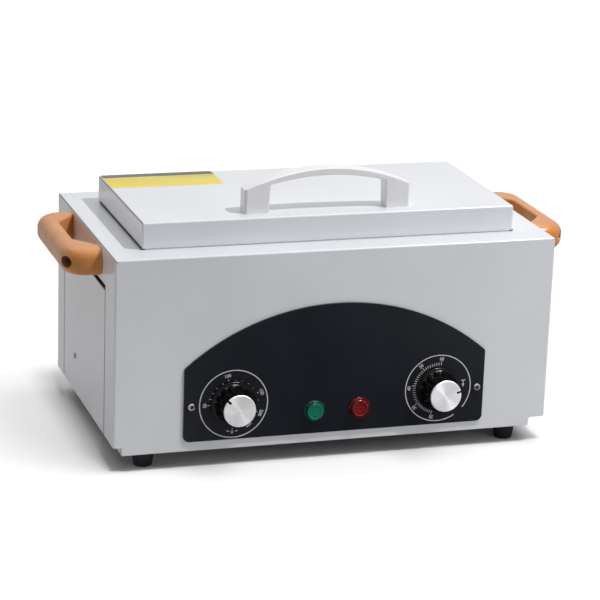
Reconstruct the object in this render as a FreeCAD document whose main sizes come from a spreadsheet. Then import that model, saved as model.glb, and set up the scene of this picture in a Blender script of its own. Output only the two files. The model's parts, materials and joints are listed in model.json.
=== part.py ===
import FreeCAD, Part
import os
import Sketcher
from FreeCAD import Placement, Rotation, Vector
from math import atan2, cos, pi, sin, sqrt, tan

# Bench-top dry heat sterilizer. X runs to the right, Y to the back and Z up, in millimetres.
# The origin lies on the bench, under the middle of the whole object.

doc = FreeCAD.newDocument("dry_heat_sterilizer")
sheet = doc.addObject("Spreadsheet::Sheet", "sizes")

driving = {
    # cabinet of folded sheet steel
    "cabinet_width": 360.0,
    "cabinet_depth": 206.0,
    "top_level": 172.5,
    "gauge": 1.0,
    "bend": 1.5,
    "skirt_level": 21.5,
    "tongue_level": 14.5,
    "tongue_inset": 13.5,
    "tongue_left_inset": 7.0,
    "tongue_return": 20.0,
    "tongue_corner": 1.8,
    "tongue_fold": 8.0,
    "strip_height": 28.5,
    "front_return": 32.0,
    "back_return": 24.5,
    "back_lip": 10.0,
    "relief_radius": 1.1,
    # side panels
    "panel_gap": 1.0,
    "slot_height": 4.8,
    "backing_width": 17.0,
    "panel_lip": 11.0,
    "rivet_place": 35.0,
    "rivet_level": 52.5,
    "rivet_radius": 1.6,
    # base
    "tray_width": 332.0,
    "tray_wall": 12.5,
    "foot_height": 15.5,
    "foot_top_radius": 9.9,
    "foot_base_radius": 7.4,
    "foot_place_x": 152.0,
    "foot_place_y": 85.0,
    "foot_recess_radius": 4.8,
    "foot_recess_depth": 6.0,
    "vent_length": 30.0,
    "vent_width": 4.0,
    "vent_pitch": 12.0,
    "tray_vent_count": 10.0,
    "back_vent_count": 15.0,
    "back_vent_low": 98.0,
    "back_vent_high": 132.0,
    # control plate
    "plate_half_width": 124.5,
    "plate_low": 22.5,
    "plate_shoulder": 82.5,
    "plate_crown": 129.1,
    "plate_thick": 1.5,
    "plate_corner": 5.0,
    "plate_shoulder_corner": 2.5,
    "plate_screw_x": 118.5,
    "plate_screw_level": 51.7,
    "dial_x": 85.0,
    "dial_level": 52.6,
    # knobs
    "knob_gap": 0.5,
    "knob_length": 19.65,
    "skirt_radius": 18.25,
    "skirt_thick": 2.6,
    "grip_base_radius": 15.4,
    "grip_tip_radius": 13.2,
    "cap_radius": 12.9,
    "cap_thick": 1.3,
    "cap_dish": 0.3,
    "notch_width": 1.9,
    "notch_length": 3.6,
    "flute_radius": 2.4,
    "flute_place": 17.1,
    "flute_count": 14.0,
    "knob_recess_radius": 9.4,
    "knob_recess_depth": 4.6,
    "shaft_radius": 3.0,
    "shaft_flat": 2.2,
    "shaft_grip_depth": 15.0,
    "shaft_inner_depth": 20.0,
    "shaft_clearance": 0.05,
    "bush_radius": 5.0,
    "bush_hole_radius": 5.2,
    "bush_reach": 4.0,
    "bush_nut_across": 14.0,
    "bush_nut_thick": 2.5,
    "temperature_pointer": 138.0,
    "timer_pointer": 14.0,
    # controls behind the front sheet
    "stat_half_width": 17.5,
    "stat_low": 35.0,
    "stat_top": 69.0,
    "stat_depth": 42.0,
    "stat_blade_level": 60.0,
    "timer_half_width": 22.0,
    "timer_low": 30.0,
    "timer_top": 74.0,
    "timer_depth": 26.0,
    "timer_blade_level": 44.0,
    "blade_half_width": 3.1,
    "blade_half_thick": 0.4,
    "blade_place": 8.0,
    "blade_reach": 8.0,
    # pilot lamps
    "green_lamp_x": -18.0,
    "red_lamp_x": 19.4,
    "lamp_level": 41.6,
    "lens_flange_radius": 8.8,
    "lens_flange_thick": 1.3,
    "lens_base_radius": 8.2,
    "lens_tip_radius": 7.4,
    "lens_reach": 4.4,
    "lens_stem_radius": 5.9,
    "lens_stem_length": 7.0,
    "lens_bore_radius": 4.6,
    "holder_length": 26.0,
    "holder_collar_radius": 8.0,
    "lamp_blade_place": 3.2,
    # inner tank and what surrounds it
    "tank_half_length": 133.0,
    "tank_half_width": 56.0,
    "tank_floor": 98.3,
    "tank_gauge": 0.8,
    "tank_corner": 12.0,
    "rim_width": 8.0,
    "middle": -1.75,
    "blanket_half_length": 158.0,
    "blanket_front": -78.0,
    "blanket_back": 76.0,
    "blanket_low": 82.0,
    "blanket_high": 168.0,
    "blanket_cavity": 8.0,
    "blanket_floor": 6.0,
    "shield_half_length": 160.0,
    "shield_front_leg": -60.0,
    "shield_toe": 4.8,
    "tab_half": 8.0,
    "tab_half_height": 6.0,
    "lead_hole_radius": 5.0,
    "heater_radius": 3.2,
    "heater_half_pitch": 25.0,
    "heater_reach": 110.0,
    "heater_end_level": 70.0,
    "saddle_length": 12.0,
    "saddle_width": 16.0,
    "saddle_drop": 8.4,
    "saddle_place": 60.0,
    "cutout_x": 20.0,
    "cutout_radius": 8.0,
    "bulb_radius": 3.0,
    "bulb_length": 78.0,
    "bulb_level": 122.0,
    "capillary_radius": 0.8,
    "basket_half_length": 122.0,
    "basket_half_width": 47.0,
    "basket_rise": 3.0,
    "basket_height": 48.0,
    "basket_rim": 4.0,
    "basket_hole_radius": 3.5,
    "basket_hole_pitch": 18.0,
    "basket_pad_radius": 4.0,
    "basket_pad_inset": 12.0,
    "bail_radius": 1.5,
    "bail_half_width": 26.0,
    "bail_drop": 8.0,
    "bail_rise": 24.0,
    "bail_inset": 6.0,
    # wiring at the bottom
    "terminal_left": 58.0,
    "terminal_right": 124.0,
    "terminal_front": 60.0,
    "terminal_back": 80.0,
    "terminal_height": 18.0,
    "clamp_radius": 2.6,
    "clamp_depth": 5.0,
    "wire_radius": 1.3,
    "earth_x": 140.0,
    "earth_y": 60.0,
    # lid
    "lid_half_length": 153.0,
    "lid_front": -77.5,
    "lid_back": 74.0,
    "lid_gap": 1.0,
    "lid_height": 20.3,
    "liner_level": 174.2,
    "handle_half_length": 68.5,
    "handle_foot": 20.0,
    "handle_front": -66.0,
    "handle_depth": 14.0,
    "handle_shoulder": 18.9,
    "handle_rise": 34.2,
    "handle_thick": 5.6,
    "handle_spring": 22.5,
    "handle_bevel": 1.8,
    "handle_screw_x": 58.5,
    "handle_bore_depth": 12.0,
    # hinges behind the lid
    "hinge_x": 90.0,
    "hinge_half_length": 20.0,
    "hinge_axis_behind": 3.2,
    "hinge_axis_above": 3.5,
    "knuckle_radius": 2.9,
    "knuckle_half": 7.0,
    "knuckle_gap": 0.3,
    "pin_radius": 1.5,
    "pin_clearance": 0.05,
    "leaf_thick": 1.2,
    "leaf_depth": 14.0,
    "leaf_lift": 2.6,
    "hinge_screw_x": 13.0,
    # side handles
    "grip_half_length": 61.5,
    "grip_reach": 30.0,
    "grip_top": 169.8,
    "grip_height": 22.2,
    "grip_bar": 14.0,
    "grip_window": 46.0,
    "grip_window_inner": 26.0,
    "grip_corner": 20.0,
    "grip_round": 9.0,
    "grip_nook": 8.0,
    "grip_window_round": 2.0,
    "grip_screw_y": 51.5,
    "counterbore_radius": 4.75,
    "counterbore_floor": 7.0,
    # cable gland
    "gland_x": 130.0,
    "gland_level": 45.0,
    "gland_reach": 21.65,
    "gland_thread_radius": 8.0,
    "gland_bore_radius": 4.0,
    "gland_across": 22.0,
    "gland_flats": 5.0,
    "gland_nut_radius": 10.2,
    "gland_thread_length": 9.0,
    "locknut_thick": 4.0,
    # screws
    "screw_radius": 2.0,
    "screw_head_radius": 3.7,
    "screw_head_height": 2.4,
    "nut_across": 7.0,
    "nut_thick": 3.0,
    "small_screw_radius": 1.5,
    "small_head_radius": 3.0,
    "small_head_height": 1.8,
}

for row, (name, value) in enumerate(driving.items(), 1):
    sheet.set(f"A{row}", name.replace("_", " "))
    sheet.set(f"B{row}", str(value))
    sheet.setAlias(f"B{row}", name)
doc.recompute()


class Size:
    """A length with the spreadsheet expression that it comes from."""

    def __init__(self, number, text):
        self.number = number
        self.text = text

    def __add__(self, other):
        other = size(other)
        return Size(self.number + other.number, f"({self.text} + {other.text})")

    def __sub__(self, other):
        other = size(other)
        return Size(self.number - other.number, f"({self.text} - {other.text})")

    def __mul__(self, other):
        other = size(other)
        return Size(self.number * other.number, f"({self.text} * {other.text})")

    def __truediv__(self, other):
        other = size(other)
        return Size(self.number / other.number, f"({self.text} / {other.text})")

    def __neg__(self):
        return self * -1

    def __radd__(self, other):
        return size(other) + self

    def __rsub__(self, other):
        return size(other) - self

    def __rmul__(self, other):
        return size(other) * self


def size(value):
    return value if isinstance(value, Size) else Size(float(value), f"({float(value)})")


def root(value):
    return Size(sqrt(value.number), f"sqrt({value.text})")


class Sizes:
    """Every cell of the sheet, by its alias."""

    def __getattr__(self, name):
        return Size(float(sheet.get(name)), f"sizes.{name}")


d = Sizes()


def bind(thing, path, value):
    thing.setExpression(path, size(value).text)


def number(value):
    return size(value).number


def point(place):
    return Vector(*[number(value) for value in place])


# Turns that lay a piece's own Z axis along a row axis.
ALONG_X = Rotation(Vector(0, 1, 0), 90)
AGAINST_X = Rotation(Vector(0, 1, 0), -90)
TO_BACK = Rotation(Vector(1, 0, 0), -90)
TO_FRONT = Rotation(Vector(1, 0, 0), 90)
UPWARD = Rotation()
DOWNWARD = Rotation(Vector(1, 0, 0), 180)
TINY = 1e-4


def body(label):
    return doc.addObject("PartDesign::Body", label)


def place(piece, where, turn=UPWARD):
    piece.Placement = Placement(point(where), turn)
    for axis, value in zip("xyz", where):
        bind(piece, f"Placement.Base.{axis}", value)


def origin_feature(owner, role):
    return next(feature for feature in owner.Origin.OriginFeatures if feature.Role == role)


def drawing(owner, name, role="XY_Plane", offset=0):
    sketch = owner.newObject("Sketcher::SketchObject", name)
    sketch.AttachmentSupport = [(origin_feature(owner, role), "")]
    sketch.MapMode = "FlatFace"
    bind(sketch, "AttachmentOffset.Base.z", offset)
    return sketch


def hold(sketch, kind, edge, end, value):
    index = sketch.addConstraint(Sketcher.Constraint(kind, -1, 1, edge, end, number(value)))
    bind(sketch, f"Constraints[{index}]", value)


def outline(sketch, corners):
    """Closed outline. A corner is (x, y), or (x, y, radius) when an arc leaves it for the next corner.
    A positive radius turns to the left on the way, a negative one to the right."""
    first = sketch.GeometryCount
    ends = []
    for corner, following in zip(corners, corners[1:] + corners[:1]):
        start = Vector(number(corner[0]), number(corner[1]), 0)
        stop = Vector(number(following[0]), number(following[1]), 0)
        if len(corner) == 2:
            sketch.addGeometry(Part.LineSegment(start, stop))
            ends.append((1, 2))
            continue
        radius = number(corner[2])
        chord = stop - start
        rise = sqrt(max(radius ** 2 - (chord.Length / 2) ** 2, 0))
        side = 1 if radius > 0 else -1
        normal = Vector(-chord.y, chord.x, 0) / chord.Length
        centre = (start + stop) / 2 + normal * rise * side
        angles = [atan2(end.y - centre.y, end.x - centre.x) for end in (start, stop)]
        if side < 0:
            angles.reverse()
        circle = Part.Circle(centre, Vector(0, 0, 1), abs(radius))
        edge = sketch.addGeometry(Part.ArcOfCircle(circle, angles[0], angles[1]))
        ends.append((1, 2) if side > 0 else (2, 1))
        index = sketch.addConstraint(Sketcher.Constraint("Radius", edge, abs(radius)))
        bind(sketch, f"Constraints[{index}]", size(corner[2]) * side)
    for index, corner in enumerate(corners):
        edge = first + index
        after = (index + 1) % len(corners)
        meet = Sketcher.Constraint("Coincident", edge, ends[index][1], first + after, ends[after][0])
        sketch.addConstraint(meet)
        hold(sketch, "DistanceX", edge, ends[index][0], corner[0])
        hold(sketch, "DistanceY", edge, ends[index][0], corner[1])


def ring(sketch, x, y, radius):
    circle = Part.Circle(Vector(number(x), number(y), 0), Vector(0, 0, 1), number(radius))
    edge = sketch.addGeometry(circle)
    index = sketch.addConstraint(Sketcher.Constraint("Radius", edge, number(radius)))
    bind(sketch, f"Constraints[{index}]", radius)
    hold(sketch, "DistanceX", edge, 3, x)
    hold(sketch, "DistanceY", edge, 3, y)


def rectangle(low_x, high_x, low_y, high_y):
    return [(low_x, low_y), (high_x, low_y), (high_x, high_y), (low_x, high_y)]


def round_rectangle(low_x, high_x, low_y, high_y, radius):
    r = radius
    return [(low_x + r, low_y), (high_x - r, low_y, r), (high_x, low_y + r), (high_x, high_y - r, r),
            (high_x - r, high_y), (low_x + r, high_y, r), (low_x, high_y - r), (low_x, low_y + r, r)]


def hexagon(across):
    reach = across / (2 * cos(pi / 6))
    return [(reach * cos(pi * k / 3), reach * sin(pi * k / 3)) for k in range(6)]


def pad(owner, sketch, length):
    feature = owner.newObject("PartDesign::Pad", sketch.Name + "_pad")
    feature.Profile = sketch
    bind(feature, "Length", length)
    doc.recompute()
    return feature


def pocket(owner, sketch, depth, up=False):
    """Cuts against the sketch's normal, or along it when up is set."""
    doc.recompute()
    before = owner.Shape.Volume
    feature = owner.newObject("PartDesign::Pocket", sketch.Name + "_pocket")
    feature.Profile = sketch
    feature.Reversed = up
    bind(feature, "Length", depth)
    doc.recompute()
    if owner.Shape.Volume > before - TINY:
        raise ValueError(f"{feature.Name} cuts nothing")
    return feature


def revolve(owner, sketch, kind="PartDesign::Revolution"):
    feature = owner.newObject(kind, sketch.Name + "_turned")
    feature.Profile = sketch
    feature.ReferenceAxis = (sketch, ["V_Axis"])
    feature.Angle = 360
    doc.recompute()
    return feature


def turned(label, profile):
    """A round piece about its own Z axis, from its half section of (radius, height) corners."""
    piece = body(label)
    section = drawing(piece, label + "_section", "XZ_Plane")
    outline(section, profile)
    revolve(piece, section)
    return piece


def block(owner, name, low, high, cut=False):
    kind = "PartDesign::SubtractiveBox" if cut else "PartDesign::AdditiveBox"
    box = owner.newObject(kind, name)
    for side, axis, start, stop in zip(("Length", "Width", "Height"), "xyz", low, high):
        bind(box, side, size(stop) - size(start))
        bind(box, f"Placement.Base.{axis}", start)
    return box


def rod(owner, name, start, turn, length, radius, cut=False):
    kind = "PartDesign::SubtractiveCylinder" if cut else "PartDesign::AdditiveCylinder"
    cylinder = owner.newObject(kind, name)
    place(cylinder, start, turn)
    bind(cylinder, "Radius", radius)
    bind(cylinder, "Height", length)
    return cylinder


def soften(owner, name, value, chosen, kind="PartDesign::Fillet"):
    """Rounds or bevels the edges of the piece so far for which chosen(edge) holds."""
    doc.recompute()
    before = owner.Tip
    edges = [f"Edge{i}" for i, edge in enumerate(before.Shape.Edges, 1) if chosen(edge)]
    if not edges:
        raise ValueError(f"{name} finds no edge")
    feature = owner.newObject(kind, name)
    feature.Base = (before, edges)
    bind(feature, "Radius" if kind == "PartDesign::Fillet" else "Size", value)
    doc.recompute()
    return feature


def repeat(owner, feature, name, axis, length, count):
    pattern = owner.newObject("PartDesign::LinearPattern", name)
    pattern.Originals = [feature]
    pattern.Direction = (origin_feature(owner, axis), [""])
    bind(pattern, "Length", length)
    bind(pattern, "Occurrences", count)
    owner.Tip = pattern
    doc.recompute()
    return pattern


def spin(owner, feature, name, count):
    pattern = owner.newObject("PartDesign::PolarPattern", name)
    pattern.Originals = [feature]
    pattern.Axis = (origin_feature(owner, "Z_Axis"), [""])
    pattern.Angle = 360
    bind(pattern, "Occurrences", count)
    owner.Tip = pattern
    doc.recompute()
    return pattern


def direction(edge):
    """The row axis that a straight edge runs along, or an empty word."""
    if edge.Degenerated or edge.Curve.TypeId != "Part::GeomLine":
        return ""
    run = edge.Vertexes[1].Point - edge.Vertexes[0].Point
    for axis in "xyz":
        if abs(abs(getattr(run, axis)) - run.Length) < TINY:
            return axis
    return ""


def at(edge, axis, *values):
    """Whether the whole edge lies at one of these values along the axis."""
    box = edge.BoundBox
    low = getattr(box, axis.upper() + "Min")
    high = getattr(box, axis.upper() + "Max")
    return any(abs(low - number(v)) < 0.01 and abs(high - number(v)) < 0.01 for v in values)


nodes = []


def keep(piece):
    nodes.append(piece)
    return piece


half_width = d.cabinet_width / 2
half_depth = d.cabinet_depth / 2
front = -half_depth
back = half_depth
strip_low = d.top_level - d.strip_height
plate_face = front - d.plate_thick
tray_low = d.foot_height
tray_floor = d.foot_height + d.gauge
tray_half = d.tray_width / 2
lid_low = d.top_level + d.lid_gap
lid_high = lid_low + d.lid_height
tank_half_x = d.tank_half_length + d.tank_gauge
tank_half_y = d.tank_half_width + d.tank_gauge
tank_low = d.tank_floor - d.tank_gauge
tank_front = d.middle - tank_half_y
tank_back = d.middle + tank_half_y
axis_y = d.lid_back + d.hinge_axis_behind
axis_z = d.top_level + d.hinge_axis_above
hinge_screw_y = axis_y + d.leaf_depth * 0.6
hinge_screw_z = axis_z + d.leaf_depth * 0.6
handle_middle = d.handle_front + d.handle_depth / 2
grip_level = d.grip_top - d.grip_height / 2
back_screw_x = half_width - d.gauge - d.back_lip / 2
back_screw_levels = (30.0, 96.0, 162.0)
terminal_top = tray_floor + d.terminal_height
terminal_ways = (64.0, 74.5, 85.0, 96.0, 107.0, 117.5)
heater_level = tank_low - d.heater_radius - 0.2
heater_near = d.middle - d.heater_half_pitch
heater_far = d.middle + d.heater_half_pitch
capillary_x = 10 - d.dial_x
capillary_y = tank_front - d.bulb_radius - 0.9


# Cabinet shell: front, top and the frames of both sides, folded from one sheet.
def cabinet_shell():
    shell = body("cabinet_shell")
    plan = drawing(shell, "shell_plan", offset=d.tongue_level)
    outline(plan, rectangle(-half_width, half_width, front, back))
    pad(shell, plan, d.top_level - d.tongue_level)

    def fold(edge):
        upright = direction(edge) == "z" and at(edge, "y", front)
        top = at(edge, "z", d.top_level) and not at(edge, "y", back)
        return upright or top

    soften(shell, "shell_folds", d.bend, fold)
    inside = half_width - d.gauge
    block(shell, "shell_hollow", (-inside, front + d.gauge, d.tongue_level - 1),
          (inside, back + 1, d.top_level - d.gauge), cut=True)
    block(shell, "side_windows", (-half_width - 1, front + d.front_return, d.tongue_level - 1),
          (half_width + 1, back - d.back_return, strip_low), cut=True)
    tongue_left = -half_width + d.tongue_left_inset
    tongue_right = half_width - d.tongue_inset
    for name, low, high in (("left_notch", -half_width - 1, tongue_left),
                            ("right_notch", tongue_right, half_width + 1)):
        block(shell, name, (low, front - 1, d.tongue_level - 1), (high, back + 1, d.skirt_level), cut=True)
    soften(shell, "tongue_corner", d.tongue_corner,
           lambda edge: direction(edge) == "y" and at(edge, "x", tongue_right)
           and edge.Length < 2 * d.gauge.number)
    block(shell, "tongue_fold_under", (tongue_left, front, d.tongue_level),
          (tongue_right - d.tongue_corner, front + d.tongue_fold, d.tongue_level + d.gauge))
    block(shell, "tongue_return", (tongue_left, front, d.tongue_level),
          (tongue_left + d.gauge, front + d.tongue_return, d.skirt_level))
    soften(shell, "tongue_bend", d.bend * 0.6,
           lambda edge: direction(edge) == "x" and at(edge, "y", front) and at(edge, "z", d.tongue_level))
    for name, low, high in (("left_lip", -inside, -inside + d.back_lip),
                            ("right_lip", inside - d.back_lip, inside)):
        block(shell, name, (low, back - 2 * d.gauge, d.skirt_level), (high, back - d.gauge, d.top_level - d.gauge))

    # Opening for the tank, and the holes of everything that is fastened to the sheet.
    opening = drawing(shell, "tank_opening", offset=d.top_level + 1)
    slack = 0.4
    outline(opening, round_rectangle(-tank_half_x - slack, tank_half_x + slack, tank_front - slack,
                                     tank_back + slack, d.tank_corner + d.tank_gauge + slack))
    pocket(shell, opening, d.gauge * 3)
    wall = d.gauge * 4
    for side in (-1, 1):
        word = "left" if side < 0 else "right"
        rod(shell, f"{word}_bush_hole", (d.dial_x * side, front - 1, d.dial_level), TO_BACK, wall,
            d.bush_hole_radius, cut=True)
        rod(shell, f"{word}_plate_screw_hole", (d.plate_screw_x * side, front - 1, d.plate_screw_level), TO_BACK,
            wall, d.small_screw_radius, cut=True)
        rod(shell, f"{word}_corner_relief", (half_width * side - d.bend * side, front - 1, d.top_level - d.bend),
            TO_BACK, wall, d.relief_radius * 0.5, cut=True)
        turn = ALONG_X if side < 0 else AGAINST_X
        for end in (-1, 1):
            rod(shell, f"{word}_grip_hole_{end + 1}", ((half_width + 1) * side, d.grip_screw_y * end, grip_level),
                turn, wall, d.screw_radius, cut=True)
            rod(shell, f"{word}_hinge_hole_{end + 1}", (d.hinge_x * side + d.hinge_screw_x * end, hinge_screw_y,
                d.top_level - 3), UPWARD, wall, d.small_screw_radius, cut=True)
        for index, level in enumerate(back_screw_levels):
            rod(shell, f"{word}_lip_hole_{index}", (back_screw_x * side, back - 5, level), TO_BACK, wall,
                d.small_screw_radius, cut=True)
    for word, x in (("green", d.green_lamp_x), ("red", d.red_lamp_x)):
        rod(shell, f"{word}_lamp_hole", (x, front - 1, d.lamp_level), TO_BACK, wall, d.lens_stem_radius + 0.1,
            cut=True)
    return keep(shell)


# Side panel: flush with the frame around it, with a slot of air left open above it.
def side_panel(label, side):
    panel = body(label)
    low_y = front + d.front_return + d.panel_gap
    high_y = back - d.back_return - d.panel_gap
    high_z = strip_low - d.slot_height

    def across(depth_a, depth_b, low, high):
        a = (half_width - depth_a) * side
        b = (half_width - depth_b) * side
        start, stop = (b, a) if side > 0 else (a, b)
        return (start, *low), (stop, *high)

    block(panel, label + "_skin", *across(0, d.gauge, (low_y, d.skirt_level), (high_y, high_z)))
    for word, start, stop in (("front", low_y - d.backing_width / 2, low_y + d.backing_width / 2),
                              ("back", high_y - d.backing_width / 2, high_y + d.backing_width / 2)):
        block(panel, f"{label}_{word}_joggle", *across(d.gauge, d.gauge * 2, (start, d.skirt_level), (stop, high_z)))
    block(panel, label + "_lip", *across(d.gauge / 2, d.panel_lip, (low_y, d.skirt_level),
                                         (high_y, d.skirt_level + d.gauge)))
    turn = ALONG_X if side < 0 else AGAINST_X
    rod(panel, label + "_rivet_hole", ((half_width + 1) * side, d.rivet_place, d.rivet_level), turn, d.gauge * 4,
        d.rivet_radius, cut=True)
    doc.recompute()
    return keep(panel)


# Back panel, with two rows of cooling slots and the hole for the cable gland.
def back_panel():
    panel = body("back_panel")
    reach = half_width - d.gauge - 0.2
    block(panel, "back_sheet", (-reach, back - d.gauge, tray_low), (reach, back, d.top_level - d.gauge - 0.2))
    for word, low, high in (("left", -reach - 1, -tray_half), ("right", tray_half, reach + 1)):
        block(panel, f"back_{word}_notch", (low, back - 2, tray_low - 1), (high, back + 1, d.skirt_level), cut=True)
    span = d.vent_pitch * (d.back_vent_count - 1)
    for word, level in (("low", d.back_vent_low), ("high", d.back_vent_high)):
        slot = drawing(panel, f"{word}_vent", "XZ_Plane", offset=-back - 1)
        outline(slot, round_rectangle(-span / 2 - d.vent_width / 2, -span / 2 + d.vent_width / 2,
                                      level - d.vent_length / 2, level + d.vent_length / 2,
                                      d.vent_width / 2 - 0.05))
        cut = pocket(panel, slot, d.gauge * 3, up=True)
        repeat(panel, cut, f"{word}_vents", "X_Axis", span, d.back_vent_count)
    through = d.gauge * 6
    start = back - through / 2
    rod(panel, "gland_hole", (d.gland_x, start, d.gland_level), TO_BACK, through, d.gland_thread_radius, cut=True)
    for side in (-1, 1):
        for index, level in enumerate(back_screw_levels):
            rod(panel, f"back_screw_hole_{side + 1}{index}", (back_screw_x * side, start, level), TO_BACK,
                through, d.small_screw_radius, cut=True)
    doc.recompute()
    return keep(panel)


# Base tray: carries the feet, the heat shield and the terminal block.
def base_tray():
    tray = body("base_tray")
    top = tray_low + d.tray_wall
    block(tray, "tray_outside", (-tray_half, front + d.gauge, tray_low), (tray_half, back - d.gauge, top))
    block(tray, "tray_inside", (-tray_half + d.gauge, front + 2 * d.gauge, tray_floor),
          (tray_half - d.gauge, back - 2 * d.gauge, top + 1), cut=True)
    through = d.gauge * 6
    start = tray_floor - through / 2
    for x in (-1, 1):
        for y in (-1, 1):
            rod(tray, f"foot_hole_{x + 1}{y + 1}", (d.foot_place_x * x, d.foot_place_y * y, start), UPWARD,
                through, d.screw_radius, cut=True)
    rod(tray, "earth_hole", (d.earth_x, d.earth_y, start), UPWARD, through, d.screw_radius, cut=True)
    span = d.vent_pitch * (d.tray_vent_count - 1)
    slot = drawing(tray, "tray_vent", offset=tray_floor + 1)
    outline(slot, round_rectangle(-span / 2 - d.vent_width / 2, -span / 2 + d.vent_width / 2,
                                  -d.vent_length / 2, d.vent_length / 2, d.vent_width / 2 - 0.05))
    cut = pocket(tray, slot, d.gauge * 3)
    repeat(tray, cut, "tray_vents", "X_Axis", span, d.tray_vent_count)
    return keep(tray)


# Rubber foot, tapered to the bench, hollow below for the screw's head.
def foot(label, x, y):
    fillet = 1.0
    piece = turned(label, [
        (d.screw_radius, d.foot_recess_depth), (d.foot_recess_radius, d.foot_recess_depth),
        (d.foot_recess_radius, 0), (d.foot_base_radius - fillet, 0, fillet), (d.foot_base_radius, fillet),
        (d.foot_top_radius, d.foot_height), (d.screw_radius, d.foot_height)])
    place(piece, (d.foot_place_x * x, d.foot_place_y * y, 0))
    doc.recompute()
    return keep(piece)


# Control plate: upright sides and an arched top, in front of the cabinet's front.
def control_plate():
    plate = body("control_plate")
    face = drawing(plate, "plate_outline", "XZ_Plane", offset=half_depth)
    rise = d.plate_crown - d.plate_shoulder
    arch = (d.plate_half_width * d.plate_half_width + rise * rise) / (rise * 2)
    outline(face, [(-d.plate_half_width, d.plate_low), (d.plate_half_width, d.plate_low),
                   (d.plate_half_width, d.plate_shoulder, arch), (-d.plate_half_width, d.plate_shoulder)])
    pad(plate, face, d.plate_thick)
    edge_x = (-d.plate_half_width, d.plate_half_width)
    soften(plate, "plate_low_corners", d.plate_corner,
           lambda edge: direction(edge) == "y" and at(edge, "z", d.plate_low))
    soften(plate, "plate_high_corners", d.plate_shoulder_corner,
           lambda edge: direction(edge) == "y" and at(edge, "z", d.plate_shoulder) and at(edge, "x", *edge_x))
    holes = [(d.dial_x * side, d.dial_level, d.bush_hole_radius) for side in (-1, 1)]
    holes += [(d.plate_screw_x * side, d.plate_screw_level, d.small_screw_radius) for side in (-1, 1)]
    holes += [(x, d.lamp_level, d.lens_stem_radius + 0.1) for x in (d.green_lamp_x, d.red_lamp_x)]
    for index, (x, z, radius) in enumerate(holes):
        rod(plate, f"plate_hole_{index}", (x, plate_face - 1, z), TO_BACK, d.plate_thick + 2, radius, cut=True)
    soften(plate, "plate_edge", 0.3, lambda edge: at(edge, "y", plate_face) and edge.Length > 40)
    return keep(plate)


# Knob grip: a skirt, a fluted taper, and a recess behind for the bush nut. Its Z axis points to the user.
def knob_grip(label, x):
    lip = 0.8
    tip = d.knob_length - d.cap_thick
    grip = turned(label, [
        (d.knob_recess_radius, 0), (d.skirt_radius - lip, 0, lip), (d.skirt_radius, lip),
        (d.skirt_radius, d.skirt_thick - lip, lip), (d.skirt_radius - lip, d.skirt_thick),
        (d.grip_base_radius + 0.6, d.skirt_thick + 0.5), (d.grip_tip_radius, tip - 0.6, 0.6),
        (d.grip_tip_radius - 0.6, tip), (0, tip), (0, d.knob_recess_depth),
        (d.knob_recess_radius, d.knob_recess_depth)])
    flute = rod(grip, label + "_flute", (d.flute_place, 0, d.skirt_thick + 0.6), Rotation(Vector(0, 1, 0), -7),
                d.knob_length, d.flute_radius, cut=True)
    doc.recompute()
    spin(grip, flute, label + "_flutes", d.flute_count)
    bore = drawing(grip, label + "_bore")
    outline(bore, shaft_section())
    pocket(grip, bore, d.shaft_grip_depth, up=True)
    place(grip, (x, plate_face - d.knob_gap, d.dial_level), TO_FRONT)
    doc.recompute()
    return keep(grip)


def shaft_section():
    reach = root(d.shaft_radius * d.shaft_radius - d.shaft_flat * d.shaft_flat)
    return [(-reach, d.shaft_flat), (reach, d.shaft_flat, -d.shaft_radius), (0, -d.shaft_radius, -d.shaft_radius)]


# Knob cap: a turned aluminium disc, slightly dished, with the pointer notch in its rim.
def knob_cap(label, x, angle):
    edge = 0.35
    cap = turned(label, [
        (0, -d.cap_thick), (d.cap_radius, -d.cap_thick), (d.cap_radius, -edge), (d.cap_radius - edge, 0),
        (d.cap_radius - 1.2, 0), (0, -d.cap_dish)])
    block(cap, label + "_notch", (d.cap_radius - d.notch_length, -d.notch_width / 2, -3),
          (d.cap_radius + 1, d.notch_width / 2, 1), cut=True)
    turn = TO_FRONT.multiply(Rotation(Vector(0, 0, 1), angle))
    place(cap, (x, plate_face - d.knob_gap - d.knob_length, d.dial_level), turn)
    doc.recompute()
    return keep(cap)


# Control shaft with a flat where the knob holds it, plain where it runs in its bush.
def control_shaft(label, x):
    shaft = turned(label, [(0, -d.shaft_inner_depth), (d.shaft_radius - 0.4, -d.shaft_inner_depth),
                           (d.shaft_radius, 0.4 - d.shaft_inner_depth), (d.shaft_radius, d.shaft_grip_depth),
                           (0, d.shaft_grip_depth)])
    block(shaft, label + "_flat", (-4, d.shaft_flat, d.knob_recess_depth), (4, 6, d.shaft_grip_depth + 1), cut=True)
    place(shaft, (x, plate_face - d.knob_gap, d.dial_level), TO_FRONT)
    doc.recompute()
    return keep(shaft)


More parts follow.
